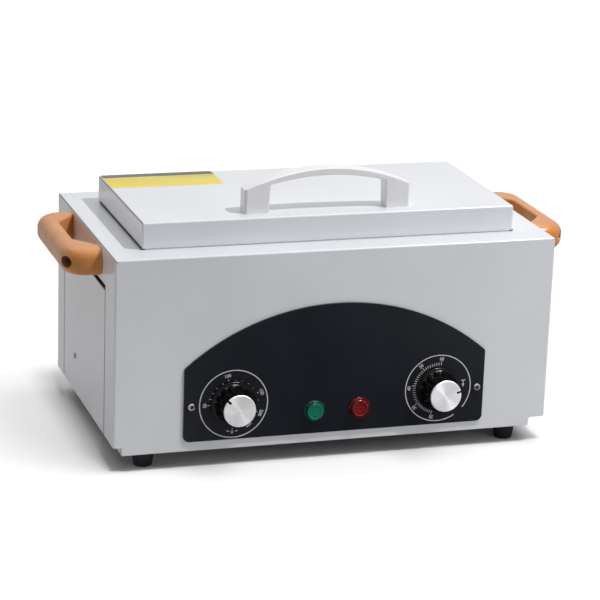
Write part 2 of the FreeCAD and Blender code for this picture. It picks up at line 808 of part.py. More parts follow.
# A control behind the front sheet: its case, its threaded bush and two blade terminals.
def control_body(label, x, half_x, low_z, high_z, depth, blade_level):
    control = body(label)
    inner = front + d.gauge
    block(control, label + "_case", (x - half_x, inner, low_z), (x + half_x, inner + depth, high_z))
    soften(control, label + "_case_edges", 1.5, lambda edge: direction(edge) == "y")
    bush_length = 2 + d.gauge + d.plate_thick + d.bush_reach
    rod(control, label + "_bush", (x, inner + 2, d.dial_level), TO_FRONT, bush_length, d.bush_radius)
    shaft_end = plate_face - d.knob_gap + d.shaft_inner_depth + 0.4
    reach = shaft_end - plate_face + d.bush_reach + 1
    rod(control, label + "_bore", (x, shaft_end, d.dial_level), TO_FRONT, reach, d.shaft_radius + d.shaft_clearance,
        cut=True)
    for side in (-1, 1):
        middle = x + d.blade_place * side
        block(control, f"{label}_blade_{side + 1}",
              (middle - d.blade_half_width, inner + depth - 1, blade_level - d.blade_half_thick),
              (middle + d.blade_half_width, inner + depth + d.blade_reach, blade_level + d.blade_half_thick))
    doc.recompute()
    return keep(control)


def bush_nut(label, x):
    nut = body(label)
    shape = drawing(nut, label + "_hexagon")
    outline(shape, hexagon(d.bush_nut_across))
    ring(shape, 0, 0, d.bush_radius)
    pad(nut, shape, d.bush_nut_thick)
    place(nut, (x, plate_face, d.dial_level), TO_FRONT)
    doc.recompute()
    return keep(nut)


# Lamp lens: a flange on the plate, a tapered cap with a domed front, and a hollow stem behind.
def lamp_lens(label, x):
    dome = 0.5
    rim = 0.9
    lens = turned(label, [
        (d.lens_bore_radius, -d.lens_stem_length), (d.lens_stem_radius, -d.lens_stem_length),
        (d.lens_stem_radius, 0), (d.lens_flange_radius, 0), (d.lens_flange_radius, d.lens_flange_thick - 0.4, 0.4),
        (d.lens_flange_radius - 0.4, d.lens_flange_thick), (d.lens_base_radius, d.lens_flange_thick),
        (d.lens_tip_radius, d.lens_reach - rim, rim), (d.lens_tip_radius - rim, d.lens_reach),
        (0, d.lens_reach + dome), (0, d.lens_reach - 1.6), (d.lens_bore_radius, d.lens_reach - 1.6)])
    place(lens, (x, plate_face, d.lamp_level), TO_FRONT)
    doc.recompute()
    return keep(lens)


# Lamp holder behind the front sheet, with a collar around the lens's stem and two blades.
def lamp_holder(label, x):
    stem_end = plate_face + d.lens_stem_length
    inner = front + d.gauge
    barrel = d.lens_stem_radius + 1
    collar = 2.5
    holder = turned(label, [
        (d.lens_stem_radius, 0), (d.holder_collar_radius, 0), (d.holder_collar_radius, collar), (barrel, collar),
        (barrel, d.holder_length), (0, d.holder_length), (0, stem_end - inner),
        (d.lens_stem_radius, stem_end - inner)])
    half_wide = 1.4
    half_thick = 0.3
    for index in (-1, 1):
        middle = d.lamp_blade_place * index
        block(holder, f"{label}_blade_{index + 1}", (middle - half_wide, -half_thick, d.holder_length - 1),
              (middle + half_wide, half_thick, d.holder_length + d.blade_reach))
    place(holder, (x, inner, d.lamp_level), TO_BACK)
    doc.recompute()
    return keep(holder)


# Inner tank: deep-drawn stainless steel, hung by its rim from the top sheet.
def inner_tank():
    tank = body("inner_tank")
    plan = drawing(tank, "tank_plan", offset=tank_low)
    outline(plan, round_rectangle(-tank_half_x, tank_half_x, tank_front, tank_back, d.tank_corner + d.tank_gauge))
    pad(tank, plan, d.top_level - tank_low)
    rim = drawing(tank, "rim_plan", offset=d.top_level)
    outline(rim, round_rectangle(-tank_half_x - d.rim_width, tank_half_x + d.rim_width, tank_front - d.rim_width,
                                 tank_back + d.rim_width, d.tank_corner + d.rim_width))
    pad(tank, rim, d.tank_gauge)
    hollow = drawing(tank, "tank_hollow", offset=d.top_level + d.tank_gauge)
    outline(hollow, round_rectangle(-d.tank_half_length, d.tank_half_length, d.middle - d.tank_half_width,
                                    d.middle + d.tank_half_width, d.tank_corner))
    pocket(tank, hollow, d.top_level + d.tank_gauge - d.tank_floor)
    soften(tank, "tank_bottom_inside", d.tank_corner / 2,
           lambda edge: at(edge, "z", d.tank_floor))
    soften(tank, "tank_bottom_outside", d.tank_corner / 2 + d.tank_gauge, lambda edge: at(edge, "z", tank_low))
    soften(tank, "tank_mouth", d.tank_gauge * 0.7,
           lambda edge: at(edge, "z", d.top_level + d.tank_gauge) and abs(edge.CenterOfMass.x) < number(tank_half_x)
           and number(tank_front) < edge.CenterOfMass.y < number(tank_back))
    return keep(tank)


# Mineral wool around the tank, standing on the heat shield.
def tank_insulation():
    blanket = body("tank_insulation")
    block(blanket, "blanket_outside", (-d.blanket_half_length, d.blanket_front, d.blanket_low),
          (d.blanket_half_length, d.blanket_back, d.blanket_high))
    block(blanket, "blanket_inside", (-tank_half_x - d.blanket_cavity, tank_front - d.blanket_cavity,
          d.blanket_low + d.blanket_floor), (tank_half_x + d.blanket_cavity, tank_back + d.blanket_cavity,
          d.blanket_high + 1), cut=True)
    for index, (x, y) in enumerate(lead_holes()):
        rod(blanket, f"blanket_lead_hole_{index}", (x, y, d.blanket_low - 2), UPWARD, d.blanket_floor * 2,
            d.lead_hole_radius, cut=True)
    doc.recompute()
    return keep(blanket)


def lead_holes():
    return [(d.heater_reach, heater_near), (d.heater_reach, heater_far), (capillary_x, capillary_y)]


# Heat shield: a bridge over the wiring that carries the insulation, with a tab to each side panel.
def heat_shield():
    shield = body("heat_shield")
    half = d.shield_half_length
    low_y = d.blanket_front - 2
    high_y = d.blanket_back + 2
    top = d.blanket_low
    block(shield, "shield_deck", (-half, low_y, top - d.gauge), (half, high_y, top))
    for side in (-1, 1):
        word = "left" if side < 0 else "right"

        def across(a, b):
            return (half * side + a * side, half * side + b * side) if side > 0 else (-half - b, -half - a)

        leg = across(-d.gauge, size(0))
        block(shield, word + "_leg", (leg[0], d.shield_front_leg, tray_floor), (leg[1], high_y, top))
        toe = across(-d.gauge, d.shield_toe)
        block(shield, word + "_toe", (toe[0], d.shield_front_leg, tray_floor),
              (toe[1], high_y, tray_floor + d.gauge))
        near_y = d.rivet_place - d.tab_half
        far_y = d.rivet_place + d.tab_half
        arm_level = d.rivet_level - d.tab_half_height
        arm_end = half_width - 2 * d.gauge - half
        arm = across(-d.gauge, arm_end)
        block(shield, word + "_arm", (arm[0], near_y, arm_level), (arm[1], far_y, arm_level + d.gauge))
        tab = across(arm_end, arm_end + d.gauge)
        block(shield, word + "_tab", (tab[0], near_y, arm_level),
              (tab[1], far_y, d.rivet_level + d.tab_half_height))
        turn = ALONG_X if side < 0 else AGAINST_X
        rod(shield, word + "_tab_hole", ((half_width + 1) * side, d.rivet_place, d.rivet_level), turn,
            d.gauge * 5, d.rivet_radius, cut=True)
    for index, (x, y) in enumerate(lead_holes()):
        rod(shield, f"shield_lead_hole_{index}", (x, y, top - 3), UPWARD, 6, d.lead_hole_radius, cut=True)
    doc.recompute()
    return keep(shield)


# Instrument basket: a perforated tray with a folded rim, standing on four pads on the tank's floor.
def instrument_basket():
    basket = body("instrument_basket")
    low = d.tank_floor + d.basket_rise
    high = d.tank_floor + d.basket_height
    wall = d.tank_gauge
    corner = d.tank_corner * 0.6
    edge_x = d.basket_half_length
    edge_y = d.basket_half_width
    plan = drawing(basket, "basket_plan", offset=low)
    outline(plan, round_rectangle(-edge_x, edge_x, d.middle - edge_y, d.middle + edge_y, corner))
    pad(basket, plan, high - low)
    rim = drawing(basket, "basket_rim_plan", offset=high)
    reach = d.basket_rim
    outline(rim, round_rectangle(-edge_x - reach, edge_x + reach, d.middle - edge_y - reach,
                                 d.middle + edge_y + reach, corner + reach))
    pad(basket, rim, wall)
    hollow = drawing(basket, "basket_hollow", offset=high + wall)
    outline(hollow, round_rectangle(-edge_x + wall, edge_x - wall, d.middle - edge_y + wall,
                                    d.middle + edge_y - wall, corner - wall))
    pocket(basket, hollow, high - low)
    columns = 13
    rows = 5
    start_x = -d.basket_hole_pitch * (columns - 1) / 2
    start_y = d.middle - d.basket_hole_pitch * (rows - 1) / 2
    for row in range(rows):
        hole = rod(basket, f"floor_hole_{row}", (start_x, start_y + d.basket_hole_pitch * row, low - 2), UPWARD, 6,
                   d.basket_hole_radius, cut=True)
        doc.recompute()
        repeat(basket, hole, f"floor_holes_{row}", "X_Axis", d.basket_hole_pitch * (columns - 1), columns)
    for x in (-1, 1):
        for y in (-1, 1):
            pad_place = ((edge_x - d.basket_pad_inset) * x, d.middle + (edge_y - d.basket_pad_inset) * y)
            rod(basket, f"basket_pad_{x + 1}{y + 1}", (*pad_place, d.tank_floor), UPWARD,
                d.basket_rise + wall / 2, d.basket_pad_radius)
    doc.recompute()
    return keep(basket)


def bent_wire(points, radii):
    """A wire of straight runs joined by arcs of the given radii at the inner points."""
    edges = []
    start = points[0]
    for index in range(1, len(points) - 1):
        corner = points[index]
        before = (points[index - 1] - corner).normalize()
        after = (points[index + 1] - corner).normalize()
        half_turn = (pi - before.getAngle(after)) / 2
        trim = radii[index - 1] * tan(half_turn)
        enter = corner + before * trim
        leave = corner + after * trim
        inward = (before + after).normalize()
        centre = corner + inward * (radii[index - 1] / cos(half_turn))
        middle = centre - inward * radii[index - 1]
        edges.append(Part.LineSegment(start, enter).toShape())
        edges.append(Part.Arc(enter, middle, leave).toShape())
        start = leave
    edges.append(Part.LineSegment(start, points[-1]).toShape())
    return Part.Wire(edges)


def tube(points, radii, radius):
    path = bent_wire([point(p) for p in points], radii)
    heading = (point(points[1]) - point(points[0])).normalize()
    circle = Part.Wire([Part.Circle(point(points[0]), heading, number(radius)).toShape()])
    solid = path.makePipeShell([circle], True, True)
    expected = pi * number(radius) ** 2 * path.Length
    if abs(solid.Volume / expected - 1) > 0.01:
        raise ValueError("tube volume differs from its section times its length")
    return solid


def formed(label, solids):
    """A piece whose bent or repeated form is made from solids worked out above it."""
    piece = doc.addObject("Part::Feature", label)
    piece.Shape = solids[0] if len(solids) == 1 else Part.makeCompound(solids)
    piece.Placement = Placement()
    return keep(piece)


# Tubular heater: one hairpin under the tank, its cold ends turned down through the heat shield.
def heater_element():
    reach = d.heater_reach
    low = d.heater_end_level
    down = 9
    turn = number(d.heater_half_pitch) * 0.96
    path = [(reach, heater_near, low), (reach, heater_near, heater_level), (-reach, heater_near, heater_level),
            (-reach, heater_far, heater_level), (reach, heater_far, heater_level), (reach, heater_far, low)]
    formed("heater_element", [tube(path, [down, turn, turn, down], d.heater_radius)])


# Saddles that hold the heater to the tank's bottom, two on each leg.
def heater_clips():
    solids = []
    level = number(heater_level)
    radius = number(d.heater_radius)
    long = number(d.saddle_length)
    wide = number(d.saddle_width)
    drop = number(d.saddle_drop)
    for y in (number(heater_near), number(heater_far)):
        for x in (-number(d.saddle_place), number(d.saddle_place)):
            saddle = Part.makeBox(long, wide, drop, Vector(x - long / 2, y - wide / 2, number(tank_low) - drop))
            start = x - long / 2 - 1
            groove = Part.makeCylinder(radius, long + 2, Vector(start, y, level), Vector(1, 0, 0))
            slot = Part.makeBox(long + 2, 2 * radius, drop, Vector(start, y - radius, level))
            solids.append(saddle.cut(groove.fuse(slot)))
    formed("heater_clips", solids)


# Over-temperature cut-out: a disc against the tank's bottom, with two blades to the side.
def overheat_cutout():
    shoulder = d.cutout_radius - 1.5
    low = 5
    high = 8.5
    cutout = turned("overheat_cutout", [
        (0, 0), (d.cutout_radius, 0), (d.cutout_radius, low), (shoulder, low + 0.6), (shoulder, high), (0, high)])
    for side in (-1, 1):
        middle = d.lamp_blade_place * side
        block(cutout, f"cutout_blade_{side + 1}", (d.cutout_radius / 2, middle - 2, low + 1.4),
              (d.cutout_radius + 9, middle + 2, low + 2.2))
    place(cutout, (d.cutout_x, d.middle, tank_low), DOWNWARD)
    doc.recompute()
    return keep(cutout)


# Thermostat bulb along the tank's front wall, and its capillary down to the thermostat.
def thermostat_bulb():
    bulb_start = capillary_x + 20
    path = [(capillary_x, capillary_y, d.stat_top), (capillary_x, capillary_y, d.bulb_level),
            (bulb_start + 2, capillary_y, d.bulb_level)]
    capillary = tube(path, [9], d.capillary_radius)
    bulb = Part.makeCylinder(number(d.bulb_radius), number(d.bulb_length),
                             point((bulb_start, capillary_y, d.bulb_level)), Vector(1, 0, 0))
    bulb = bulb.makeFillet(1.2, bulb.Edges)
    formed("thermostat_bulb", [bulb.fuse(capillary).removeSplitter()])


# Terminal block: a ceramic bar with six ways and their clamp screws.
def terminal_block():
    bar = body("terminal_block")
    block(bar, "terminal_bar", (d.terminal_left, d.terminal_front, tray_floor),
          (d.terminal_right, d.terminal_back, terminal_top))
    soften(bar, "terminal_edges", 1.2, lambda edge: direction(edge) == "y" and at(edge, "z", terminal_top))
    for row, y in (("front", d.terminal_front + 6), ("back", d.terminal_back - 6)):
        for index, x in enumerate(terminal_ways):
            rod(bar, f"clamp_{row}_{index}", (x, y, terminal_top - d.clamp_depth), UPWARD, d.clamp_depth + 1,
                d.clamp_radius, cut=True)
    doc.recompute()
    return keep(bar)


# Wires between the terminal block, the controls, the lamps and the heater.
def wiring_loom():
    terminal = number(d.terminal_front)
    timer_x = number(d.dial_x)
    stat_x = -number(d.dial_x)
    place_x = number(d.blade_place)
    near = number(heater_near)
    far = number(heater_far)
    heater_x = number(d.heater_reach)
    heater_z = number(d.heater_end_level)
    green_x = number(d.green_lamp_x + d.lamp_blade_place)
    red_near = number(d.red_lamp_x - d.lamp_blade_place)
    red_far = number(d.red_lamp_x + d.lamp_blade_place)
    lamp_y = number(front + d.gauge + d.holder_length + d.blade_reach)
    lamp_z = number(d.lamp_level)
    timer_y = number(front + d.gauge + d.timer_depth + d.blade_reach)
    timer_z = number(d.timer_blade_level)
    stat_y = number(front + d.gauge + d.stat_depth + d.blade_reach)
    stat_z = number(d.stat_blade_level)
    link_y = lamp_y + 17
    one, two, three, four, _, six = terminal_ways
    routes = [
        ([(three, terminal, 28), (three, 0, 28), (timer_x - place_x, -45, timer_z),
          (timer_x - place_x, timer_y, timer_z)], [20, 20]),
        ([(four, terminal, 24), (four, 0, 24), (timer_x + place_x, -45, timer_z),
          (timer_x + place_x, timer_y, timer_z)], [20, 20]),
        ([(one, terminal, 22), (one, 34, 22), (stat_x + place_x, -8, 30), (stat_x + place_x, -32, stat_z),
          (stat_x + place_x, stat_y, stat_z)], [16, 10, 10]),
        ([(two, terminal, 22), (two, 10, 22), (red_far, -34, lamp_z), (red_far, lamp_y, lamp_z)], [16, 14]),
        ([(red_near, lamp_y, lamp_z), (red_near, link_y, lamp_z), (green_x, link_y, lamp_z),
          (green_x, lamp_y, lamp_z)], [8, 8]),
        ([(six, terminal, 24), (six, 46, 24), (heater_x, far, 48), (heater_x, far, heater_z)], [8, 8]),
        ([(heater_x, near, heater_z), (heater_x, near, timer_z), (stat_x - place_x, near, timer_z),
          (stat_x - place_x, near - 11, stat_z), (stat_x - place_x, stat_y, stat_z)], [8, 7, 7]),
    ]
    formed("wiring_loom", [tube(points, radii, d.wire_radius) for points, radii in routes])


# Earth stud through the base tray, with its nuts and washer.
def earth_stud():
    shank = d.screw_radius
    washer = 4.5
    nut = 3.6
    stud = turned("earth_stud", [
        (0, -1), (shank, -1), (shank, 1), (washer, 1), (washer, 2), (nut, 2), (nut, 2 + d.nut_thick),
        (shank, 2 + d.nut_thick), (shank, 14), (0, 14)])
    place(stud, (d.earth_x, d.earth_y, tray_low))
    doc.recompute()
    return keep(stud)


# Lid: a shallow folded pan, its mouth down.
def lid_shell():
    lid = body("lid_shell")
    half = d.lid_half_length
    plan = drawing(lid, "lid_plan", offset=lid_low)
    outline(plan, rectangle(-half, half, d.lid_front, d.lid_back))
    pad(lid, plan, d.lid_height)
    soften(lid, "lid_folds", d.bend, lambda edge: direction(edge) == "z" or at(edge, "z", lid_high))
    block(lid, "lid_hollow", (-half + d.gauge, d.lid_front + d.gauge, lid_low - 1),
          (half - d.gauge, d.lid_back - d.gauge, lid_high - d.gauge), cut=True)
    for side in (-1, 1):
        rod(lid, f"handle_hole_{side + 1}", (d.handle_screw_x * side, handle_middle, lid_high - 4), UPWARD, 8,
            d.screw_radius, cut=True)
        for end in (-1, 1):
            rod(lid, f"leaf_hole_{side + 1}{end + 1}", (d.hinge_x * side + d.hinge_screw_x * end, d.lid_back - 3,
                hinge_screw_z), TO_BACK, 6, d.small_screw_radius, cut=True)
    doc.recompute()
    return keep(lid)


# Lid liner: the stainless pan that closes the lid from below.
def lid_liner():
    liner = body("lid_liner")
    half = d.lid_half_length - d.gauge
    low_y = d.lid_front + d.gauge
    high_y = d.lid_back - d.gauge
    wall = d.tank_gauge
    block(liner, "liner_outside", (-half, low_y, d.liner_level), (half, high_y, d.liner_level + 7))
    block(liner, "liner_inside", (-half + wall, low_y + wall, d.liner_level + wall),
          (half - wall, high_y - wall, d.liner_level + 8), cut=True)
    for side in (-1, 1):
        block(liner, f"liner_notch_{side + 1}", (d.hinge_x * side - 24, high_y - 2, d.liner_level + 4),
              (d.hinge_x * side + 24, high_y + 2, d.liner_level + 8), cut=True)
    doc.recompute()
    return keep(liner)


def lid_insulation():
    wool = body("lid_insulation")
    half = d.lid_half_length - d.gauge - d.tank_gauge
    block(wool, "lid_wool", (-half, d.lid_front + d.gauge + d.tank_gauge, d.liner_level + d.tank_gauge),
          (half, d.lid_back - 12, lid_high - d.gauge))
    for side in (-1, 1):
        rod(wool, f"wool_pocket_{side + 1}", (d.handle_screw_x * side, handle_middle, lid_high - 6), UPWARD, 8, 6,
            cut=True)
    doc.recompute()
    return keep(wool)


# Lid handle: an arch between two feet, cut from one thick section.
def lid_handle():
    handle = body("lid_handle")
    section = drawing(handle, "handle_section", "XZ_Plane", offset=-d.handle_front - d.handle_depth)
    half = d.handle_half_length
    inner = half - d.handle_foot
    shoulder = lid_high + d.handle_shoulder
    spring = lid_high + d.handle_spring
    crown = lid_high + d.handle_rise
    under = crown - d.handle_thick
    rise = crown - shoulder
    over_radius = (half * half + rise * rise) / (rise * 2)
    under_rise = under - spring
    inner_top = inner - 1
    under_radius = (inner_top * inner_top + under_rise * under_rise) / (under_rise * 2)
    outline(section, [
        (-half, lid_high), (-inner, lid_high), (-inner_top, spring, -under_radius), (inner_top, spring),
        (inner, lid_high), (half, lid_high), (half, shoulder, over_radius), (-half, shoulder)])
    pad(handle, section, d.handle_depth)
    soften(handle, "handle_ends", d.handle_bevel,
           lambda edge: direction(edge) == "z" and at(edge, "x", -half, half), "PartDesign::Chamfer")
    faces = (d.handle_front, d.handle_front + d.handle_depth)
    soften(handle, "handle_edges", 0.8,
           lambda edge: at(edge, "y", *faces) and edge.BoundBox.ZMax > number(shoulder))
    for side in (-1, 1):
        rod(handle, f"handle_screw_bore_{side + 1}", (d.handle_screw_x * side, handle_middle, lid_high - 1),
            UPWARD, d.handle_bore_depth + 1, d.screw_radius, cut=True)
    doc.recompute()
    return keep(handle)


# Hinges. The fixed leaf lies on the top sheet behind the lid, the moving leaf on the lid's back.
def hinge(side):
    word = "left" if side < 0 else "right"
    x = d.hinge_x * side
    half = d.hinge_half_length
    knuckle = d.knuckle_half
    gap = d.knuckle_gap
    over = d.hinge_axis_above - d.leaf_thick
    free = root(d.knuckle_radius * d.knuckle_radius - over * over) + 0.5
    leaf_back = axis_y + d.leaf_depth

    fixed = body(f"hinge_leaf_fixed_{word}")
    block(fixed, word + "_fixed_plate", (x - half, axis_y + free, d.top_level),
          (x + half, leaf_back, d.top_level + d.leaf_thick))
    for end in (-1, 1):
        start = x - half if end < 0 else x + knuckle + gap
        stop = x - knuckle - gap if end < 0 else x + half
        block(fixed, f"{word}_fixed_root_{end + 1}", (start, axis_y, d.top_level),
              (stop, axis_y + free + 1, d.top_level + d.leaf_thick))
        rod(fixed, f"{word}_fixed_knuckle_{end + 1}", (start, axis_y, axis_z), ALONG_X, half - knuckle - gap,
            d.knuckle_radius)
    rod(fixed, word + "_fixed_bore", (x - half - 1, axis_y, axis_z), ALONG_X, half * 2 + 2, d.pin_radius, cut=True)
    for end in (-1, 1):
        countersink(fixed, f"{word}_fixed_screw_{end + 1}", (x + d.hinge_screw_x * end, hinge_screw_y,
                    d.top_level + d.leaf_thick), UPWARD)
    doc.recompute()
    keep(fixed)

    moving = body(f"hinge_leaf_moving_{word}")
    block(moving, word + "_moving_plate", (x - half, d.lid_back, axis_z + d.leaf_lift),
          (x + half, d.lid_back + d.leaf_thick, axis_z + d.leaf_depth))
    block(moving, word + "_moving_root", (x - knuckle, d.lid_back, axis_z),
          (x + knuckle, d.lid_back + d.leaf_thick, axis_z + d.leaf_lift + 1))
    rod(moving, word + "_moving_knuckle", (x - knuckle, axis_y, axis_z), ALONG_X, knuckle * 2, d.knuckle_radius)
    rod(moving, word + "_moving_bore", (x - knuckle - 1, axis_y, axis_z), ALONG_X, knuckle * 2 + 2,
        d.pin_radius + d.pin_clearance, cut=True)
    for end in (-1, 1):
        countersink(moving, f"{word}_moving_screw_{end + 1}", (x + d.hinge_screw_x * end, d.lid_back + d.leaf_thick,
                    hinge_screw_z), TO_BACK)
    doc.recompute()
    keep(moving)

    pin = turned(f"hinge_pin_{word}", [
        (0, -half - 0.8), (d.pin_radius - 0.3, -half - 0.8), (d.pin_radius, -half - 0.5),
        (d.pin_radius, half + 0.5), (d.pin_radius - 0.3, half + 0.8), (0, half + 0.8)])
    place(pin, (x, axis_y, axis_z), ALONG_X)
    doc.recompute()
    keep(pin)


def countersink(owner, name, mouth, turn):
    """A screw hole through a leaf, its cone open at the mouth. The turn points out of the mouth."""
    cone = owner.newObject("PartDesign::SubtractiveCone", name)
    bind(cone, "Radius1", d.small_screw_radius)
    bind(cone, "Radius2", d.small_head_radius)
    bind(cone, "Height", d.leaf_thick)
    outward = [round(part) for part in turn.multVec(Vector(0, 0, 1))]
    place(cone, [value - d.leaf_thick * part for value, part in zip(mouth, outward)], turn)


# Side handle: a moulded bow whose window narrows towards the bar, with deep screw counterbores.
def side_handle(label, side):
    grip = body(label)
    low = d.grip_top - d.grip_height
    near = half_width
    far = half_width + d.grip_reach
    reach = d.grip_half_length
    corner = d.grip_corner
    window = d.grip_window
    narrow = d.grip_window_inner
    inner = far - d.grip_bar
    plan = drawing(grip, label + "_plan", offset=low)
    outline(plan, [
        (near, -reach), (far - corner, -reach, corner), (far, -reach + corner), (far, reach - corner, corner),
        (far - corner, reach), (near, reach), (near, window), (inner, narrow), (inner, -narrow), (near, -window)])
    pad(grip, plan, d.grip_height)
    soften(grip, label + "_nooks", d.grip_nook, lambda edge: direction(edge) == "z" and at(edge, "x", inner))

    def outer(edge):
        if not at(edge, "z", low, d.grip_top):
            return False
        box = edge.BoundBox
        return box.XMax > number(far) - 0.01 or abs(edge.CenterOfMass.y) > number(reach) - 0.01

    soften(grip, label + "_outside", d.grip_round, outer)
    soften(grip, label + "_window_edges", d.grip_window_round,
           lambda edge: at(edge, "z", low, d.grip_top) and edge.BoundBox.XMax < number(inner) + 0.01
           and not at(edge, "x", near))
    for end in (-1, 1):
        y = d.grip_screw_y * end
        rod(grip, f"{label}_counterbore_{end + 1}", (near + d.counterbore_floor, y, grip_level), ALONG_X,
            d.grip_reach, d.counterbore_radius, cut=True)
        rod(grip, f"{label}_hole_{end + 1}", (near - 1, y, grip_level), ALONG_X, d.counterbore_floor + 2,
            d.screw_radius, cut=True)
    doc.recompute()
    if side < 0:
        grip.Placement = Placement(Vector(0, 0, 0), Rotation(Vector(0, 0, 1), 180))
        doc.recompute()
    return keep(grip)


# Cable gland through the back panel: body, flats and a fluted dome nut. Its Z axis points to the back.
def cable_gland():
    gland = body("cable_gland")
    flats = drawing(gland, "gland_flats")
    outline(flats, hexagon(d.gland_across))
    pad(gland, flats, d.gland_flats)
    section = drawing(gland, "gland_section", "XZ_Plane")
    inner = -d.gland_thread_length
    dome = d.gland_nut_radius - 2
    mouth = dome - 2
    outline(section, [(0, inner), (d.gland_thread_radius, inner), (d.gland_thread_radius, 1),
                      (d.gland_nut_radius, 1), (d.gland_nut_radius, 12), (dome, 16.5, 6),
                      (mouth, d.gland_reach), (0, d.gland_reach)])
    revolve(gland, section)
    flute = rod(gland, "gland_flute", (d.gland_nut_radius + 1.2, 0, 6.5), UPWARD, 5, 1.8, cut=True)
    doc.recompute()
    spin(gland, flute, "gland_flutes", 12)
    rod(gland, "gland_bore", (0, 0, inner - 1), UPWARD, 40, d.gland_bore_radius, cut=True)
    place(gland, (d.gland_x, back, d.gland_level), TO_BACK)
    doc.recompute()
    return keep(gland)


def gland_locknut():
    nut = body("gland_locknut")
    shape = drawing(nut, "locknut_hexagon")
    outline(shape, hexagon(d.gland_across))
    ring(shape, 0, 0, d.gland_thread_radius)
    pad(nut, shape, d.locknut_thick)
    place(nut, (d.gland_x, back - d.gauge, d.gland_level), TO_FRONT)
    doc.recompute()
    return keep(nut)


# A cross-recessed screw along Z: its head starts at height 0 and its shank runs down from there.
def pan_screw(radius, head_radius, head_height, length):
    head = Part.makeCylinder(head_radius, head_height)
    crown = [edge for edge in head.Edges if abs(edge.BoundBox.ZMin - head_height) < TINY]
    head = head.makeFillet(head_height * 0.6, crown)
    shank = Part.makeCylinder(radius, length, Vector(0, 0, -length))
    tip = [edge for edge in shank.Edges if abs(edge.BoundBox.ZMax + length) < TINY]
    shank = shank.makeChamfer(radius * 0.25, tip)
    return cross_cut(head.fuse(shank), head_radius, head_height)


def flat_screw(radius, head_radius, head_height, length):
    """Countersunk screw, its top at height 0."""
    head = Part.makeCone(radius, head_radius, head_height, Vector(0, 0, -head_height))
    shank = Part.makeCylinder(radius, length - head_height, Vector(0, 0, -length))
    return cross_cut(head.fuse(shank), head_radius * 0.8, 0)


def cross_cut(solid, reach, level):
    depth = reach * 0.45
    width = reach * 0.26
    arm = reach * 0.62
    for turn in (0, 90):
        slot = Part.makeBox(2 * arm, width, depth * 2, Vector(-arm, -width / 2, level - depth))
        slot.rotate(Vector(0, 0, 0), Vector(0, 0, 1), turn)
        solid = solid.cut(slot)
    return solid.removeSplitter()


def hex_nut(across, thick, bore, level):
    """A nut on the shank of a screw, its upper face at the level."""
    corners = [Vector(x, y, level - thick) for x, y in hexagon(across)]
    prism = Part.Face(Part.makePolygon(corners + corners[:1])).extrude(Vector(0, 0, thick))
    return prism.cut(Part.makeCylinder(bore, thick + 2, Vector(0, 0, level - thick - 1)))


def fasteners(label, solid, places):
    """One group of like fasteners. Each place is where its own origin goes, and its turn."""
    solids = []
    for where, turn in places:
        copy = solid.copy()
        copy.Placement = Placement(point(where), turn)
        solids.append(copy)
    return formed(label, solids)


def all_fasteners():
    large = [number(value) for value in (d.screw_radius, d.screw_head_radius, d.screw_head_height)]
    small = [number(value) for value in (d.small_screw_radius, d.small_head_radius, d.small_head_height)]
    leaf = [number(value) for value in (d.small_screw_radius, d.small_head_radius, d.leaf_thick)]
    nut = [number(value) for value in (d.nut_across, d.nut_thick, d.screw_radius)]
    sides = (-1, 1)
    corners = [(x, y) for x in sides for y in sides]

    fasteners("plate_screws", pan_screw(*small, 9),
              [((d.plate_screw_x * s, plate_face, d.plate_screw_level), TO_FRONT) for s in sides])

    foot_screw = pan_screw(*large, 14.5)
    grip = number(tray_floor - d.foot_recess_depth)
    foot_screw = foot_screw.fuse(hex_nut(*nut, -grip)).removeSplitter()
    fasteners("foot_screws", foot_screw,
              [((d.foot_place_x * x, d.foot_place_y * y, d.foot_recess_depth), DOWNWARD) for x, y in corners])

    grip_screw = pan_screw(*large, 13)
    grip_screw = grip_screw.fuse(hex_nut(*nut, -number(d.counterbore_floor + d.gauge))).removeSplitter()
    fasteners("side_handle_screws", grip_screw,
              [(((half_width + d.counterbore_floor) * x, d.grip_screw_y * y, grip_level),
                ALONG_X if x > 0 else AGAINST_X) for x, y in corners])

    fasteners("lid_handle_screws", pan_screw(*large, 12),
              [((d.handle_screw_x * s, handle_middle, lid_high - d.gauge), DOWNWARD) for s in sides])

    fasteners("back_panel_screws", pan_screw(*small, 7),
              [((back_screw_x * s, back, level), TO_BACK) for s in sides for level in back_screw_levels])

    leaf_screw = flat_screw(*leaf, 7)
    fasteners("hinge_top_screws", leaf_screw,
              [((d.hinge_x * x + d.hinge_screw_x * y, hinge_screw_y, d.top_level + d.leaf_thick), UPWARD)
               for x, y in corners])
    fasteners("hinge_lid_screws", leaf_screw,
              [((d.hinge_x * x + d.hinge_screw_x * y, d.lid_back + d.leaf_thick, hinge_screw_z), TO_BACK)
               for x, y in corners])

    head = number(d.rivet_radius) * 1.5
    height = 0.8
    length = 4
    rivet = Part.makeCylinder(head, height)
    rivet = rivet.makeFillet(0.5, [edge for edge in rivet.Edges if edge.BoundBox.ZMin > height / 2])
    rivet = rivet.fuse(Part.makeCylinder(number(d.rivet_radius), length, Vector(0, 0, -length)))
    bulge = Part.makeSphere(head, Vector(0, 0, -length - height))
    below = Part.makeBox(head * 2, head * 2, head * 2, Vector(-head, -head, -length + 1 - head * 2))
    rivet = rivet.fuse(bulge.common(below))
    fasteners("side_panel_rivets", rivet.removeSplitter(),
              [((half_width * s, d.rivet_place, d.rivet_level), ALONG_X if s > 0 else AGAINST_X) for s in sides])


